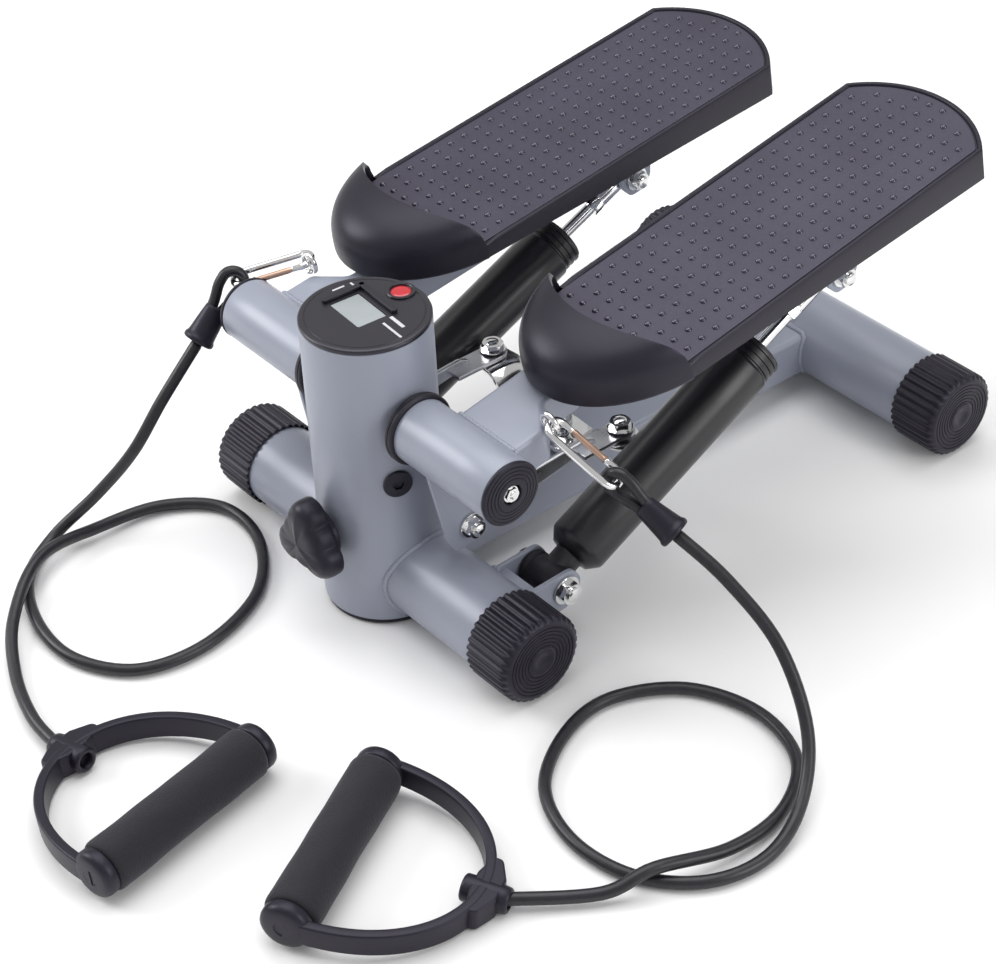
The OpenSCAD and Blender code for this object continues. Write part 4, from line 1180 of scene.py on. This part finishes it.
def make_link(side):
    front = arm_frame(side) @ Vector((0, *LEVER_BOLT))
    rear_y = ROCKER_Y + side * ROCKER_REACH * sin(radians(ROCKER_TURN))
    fy, fz = front.y, front.z
    web = rounded_outline([(fy - 9, fz - 8.5), (fy + 6, fz - 8.5), (rear_y - 36, TAB_Z),
        (rear_y - 20, TAB_Z), (rear_y - 20, TAB_Z + 6), (rear_y - 27, TAB_Z + 9),
        (fy + 4, fz + 8.6), (fy - 9, fz + 8.5)], [8, 8, 8, 0.4, 3, 6, 6, 8], 5)
    shape = Shape(None, side)
    shape.prism(web, 0, 3, along_x(side * LINK_X, 0, 0, side), chamfer=0.5, steps=2)
    round_end = arc((ROCKER_REACH, rear_y), 9, 0, 180, 16)
    tab = [(ROCKER_REACH + 7, rear_y - 34), (ROCKER_REACH + 7, rear_y - 4)] + round_end
    tab += [(ROCKER_REACH - 9, rear_y - 4), (ROCKER_REACH - 9, rear_y - 34)]
    shape.prism([(side * x, y) for x, y in tab], TAB_Z, TAB_Z + 3, chamfer=0.4, steps=2)
    shape.make("link_plate", "link", ZINC, "link")


for way in SIDES:
    make_arm(way)
    make_damper(way)
    make_link(way)
make_rocker()
for way in SIDES:
    make_pedal(way)
    make_toe_cup(way)


# ----------------------------------------------------------------- hooks and ferrules
HOOK_HALF = 7
HOOK_WIRE = 2.2
GATE_FROM, GATE_TO = 12.5, 36.5
LOOP_R = 7


def make_hook(side):
    ring = Shape(arm_frame(side) @ at(*EYE), side)
    ring.tube([(x, 0, z) for x, z in circle(6, 48)], 1.6, sides=16, closed=True)
    ring.lathe([(0, -5.8), (3.4, -5.8), (3.2, -4.9), (2.2, -4.1), (0, -4.0)], sides=24)
    ring.make("eye_ring", "arm", CHROME, "band_eye")

    front = arc((HOOK_HALF, 0), HOOK_HALF, 90, 270, 24)
    rear = arc((HOOK_LEN - HOOK_HALF, 0), HOOK_HALF, -90, 90, 24)
    path = [(GATE_FROM - 0.6, HOOK_HALF), (GATE_FROM - 3, HOOK_HALF)] + front
    path += [(HOOK_HALF + (HOOK_LEN - 2 * HOOK_HALF) * k / 8, -HOOK_HALF) for k in range(1, 8)]
    path += rear + [(GATE_TO + 3, HOOK_HALF), (GATE_TO + 0.6, HOOK_HALF)]
    wire = Shape(hook_frame(side), side)
    radii = [HOOK_WIRE * (0.82 if i < 2 else 1) for i in range(len(path))]
    wire.tube([(*p, 0) for p in path], radii, sides=20)
    wire.make("snap_hook_wire", "arm", CHROME, "snap_hook")

    gate = Shape(hook_frame(side) @ at(0, HOOK_HALF), side)
    span = [(GATE_FROM + (GATE_TO - 0.8 - GATE_FROM) * k / 12, 0, 0) for k in range(13)]
    gate.tube(span, [1.5, 1.85] + [1.9] * 9 + [1.85, 1.6], sides=18)
    pin = [(0, -2.5), (0.7, -2.5), (0.9, -2.2), (0.9, 2.2), (0.7, 2.5), (0, 2.5)]
    gate.lathe(pin, at(GATE_TO - 0.5), sides=16)
    gate.make("snap_hook_gate", "gate", BRONZE, "hook_gate")


def make_band_loop(side):
    """The band's end passes round the hook and both its legs go into a tapered ferrule."""
    waist = BAND_D / 2 - 0.4
    turn = arc((0, 0), LOOP_R, 90, 270, 20)
    leg = [(2, LOOP_R), (5, LOOP_R - 0.2), (8, LOOP_R - 0.9), (11, LOOP_R - 1.9),
        (15, LOOP_R - 2.9), (18, LOOP_R - 3.5), (22, LOOP_R - 3.7)]
    path = list(reversed(leg)) + turn + [(x, -z) for x, z in leg]
    band = Shape(loop_frame(side), side)
    band.tube([(x, 0, z) for x, z in path], waist, sides=18, rounded=False)
    band.make("band_loop_strand", "arm", LATEX, "band_loop")
    ferrule = Shape(loop_frame(side), side)
    profile = [(0, 17.6), (4.9, 17.6), (5.8, 18), (6.3, 19), (6.6, 21), (7.0, 24), (7.4, 27),
        (7.8, 30), (8.2, 33), (8.6, 36), (8.9, 38), (9.5, 38.8), (9.8, 39.8), (9.7, 41.2),
        (9.1, 42), (5, 42), (4.4, 41.2), (0, 41.2)]
    squeeze = lambda a, r, z: r * (1 + 0.15 * max(36 - z, 0) / 18 * cos(2 * a))
    ferrule.lathe(profile, spin(90, "Y"), sides=64, ripple=squeeze)
    ferrule.make("band_ferrule", "arm", PLASTIC)


# --------------------------------------------------------------------------- handles
GRIP_HALF = 56
GRIP_Z = 16
HANDLES = {RIGHT: ((167.5, -163.5), 29), LEFT: ((89.5, -210.5), 191)}
HANDLE_TILT = 5.5


def make_handle(side):
    (x0, y0), turn = HANDLES[side]
    place = at(x0, y0, GRIP_Z) @ spin(turn, "Z") @ spin(HANDLE_TILT, "Y")
    shape = Shape(place, side)
    centre = []
    for k in range(61):
        t = radians(-90 + 3 * k)
        centre.append(Vector((85 * max(cos(t), 0) ** 0.9, 62 * sin(t), 0)))
    rings = []
    for i, p in enumerate(centre):
        along = (centre[min(i + 1, 60)] - centre[max(i - 1, 0)]).normalized()
        out = Vector((along.y, -along.x, 0))
        widest = 7 + 0.5 * cos(radians(-90 + 3 * i))
        section = rounded_box((-3, -widest, 3, widest), 1.4, 3)
        rings.append([p + out * a + Vector((0, 0, b)) for a, b in section])
    shape.loft(rings)
    for way in (1, -1):
        boss = [(0, 0), (12.8, 0), (13.8, 0.5), (14.2, 1.4), (14.2, 5), (13.6, 6.9), (12.2, 8.2),
            (10.2, 8.9), (5, 9), (4.6, 8.5), (0, 8.5)]
        shape.lathe(boss, at(0, way * GRIP_HALF) @ spin(-90 * way, "X"), sides=64)
    shape.lathe(box(0, -GRIP_HALF - 1, 9, GRIP_HALF + 1), spin(90, "X"), sides=40)
    joint = [(0, -7.5), (4.2, -7.5), (4.5, -11.2), (5.1, -11.7), (6.6, -11.7), (7.4, -11.1),
        (7.7, -10), (7.7, -3), (7.7, 4), (7.6, 11), (7.2, 13.6), (6.5, 14.6), (5.0, 14.8),
        (4.4, 14), (4.3, 3), (0, 3)]
    shape.lathe(joint, at(85) @ spin(90, "Y"), sides=56)
    collar = rounded_outline([(-2.6, -20), (3, -20), (9.4, -7.6), (9.4, 7.6), (3, 20), (-2.6, 20),
        (-6.4, 7.2), (-6.4, -7.2)], [2, 4, 1, 1, 4, 2, 1, 1], 4)
    shape.prism(collar, -7.3, 7.3, at(85), chamfer=1.1, steps=3)
    shape.make("handle_bow", "frame", PLASTIC, "handle_frame", sharp=50)

    grip = Shape(place, side)
    end = GRIP_HALF - 0.1
    profile = [(9.1, -end), (13.4, -end), (14.6, 0.8 - end), (15.3, 2.2 - end)]
    for k in range(25):
        y = (end - 4) * (k / 12 - 1)
        profile.append((15.5 - 0.35 * cos(pi * y / 2 / (end - 4)) ** 2, y))
    profile += [(15.3, end - 2.2), (14.6, end - 0.8), (13.4, end), (9.1, end), (9.1, -end)]
    swell = lambda a, z: 0.12 * sin(3 * a + z * 0.11) + 0.1 * sin(5 * a - z * 0.2)
    grip.lathe(profile, spin(90, "X"), sides=96,
        ripple=lambda a, r, z: r + (swell(a, z) if r > 12 else 0))
    piece = grip.make("foam_grip", "frame", FOAM, "handle_grip")


for way in SIDES:
    make_hook(way)
    make_band_loop(way)
    make_handle(way)


# ---------------------------------------------------------------------------- studio
def make_floor():
    look = Surface("studio_floor")
    look.tint(look.texture("Noise", 3, Detail=2), (1, 1, 1), 0.88, 0.92)
    look.set(Roughness=0.7)
    mesh = bpy.data.meshes.new("studio_floor")
    bm = bmesh.new()
    bmesh.ops.create_grid(bm, x_segments=12, y_segments=12, size=6)
    bm.to_mesh(mesh)
    bm.free()
    mesh.materials.append(look.material)
    floor = bpy.data.objects.new("studio_floor", mesh)
    floor.location.z = -0.0006
    bpy.context.scene.collection.objects.link(floor)


def add_light(name, place, target, size, power):
    light = bpy.data.lights.new(name, "AREA")
    light.shape = "RECTANGLE"
    light.size, light.size_y = size
    light.energy = power
    light.color = (1, 1, 1)
    lamp = bpy.data.objects.new(name, light)
    lamp.location = place
    lamp.rotation_euler = (Vector(target) - Vector(place)).to_track_quat("-Z", "Y").to_euler()
    bpy.context.scene.collection.objects.link(lamp)


def make_studio():
    make_floor()
    middle = (0.05, 0.1, 0.1)
    add_light("softbox_above", (-0.3, 0.3, 2.2), middle, (2.2, 2.2), 37)
    add_light("softbox_left", (-1.5, -1.1, 1.3), middle, (1.0, 1.0), 22)
    add_light("softbox_right", (1.9, 0.7, 1.0), middle, (0.9, 1.2), 14)
    world = bpy.data.worlds.new("studio")
    bpy.context.scene.world = world
    world.use_nodes = True
    back = world.node_tree.nodes["Background"]
    back.inputs["Color"].default_value = (1, 1, 1, 1)
    back.inputs["Strength"].default_value = 0.55
    view = bpy.context.scene.view_settings
    view.view_transform = "Standard"
    view.look = "None"


make_studio()
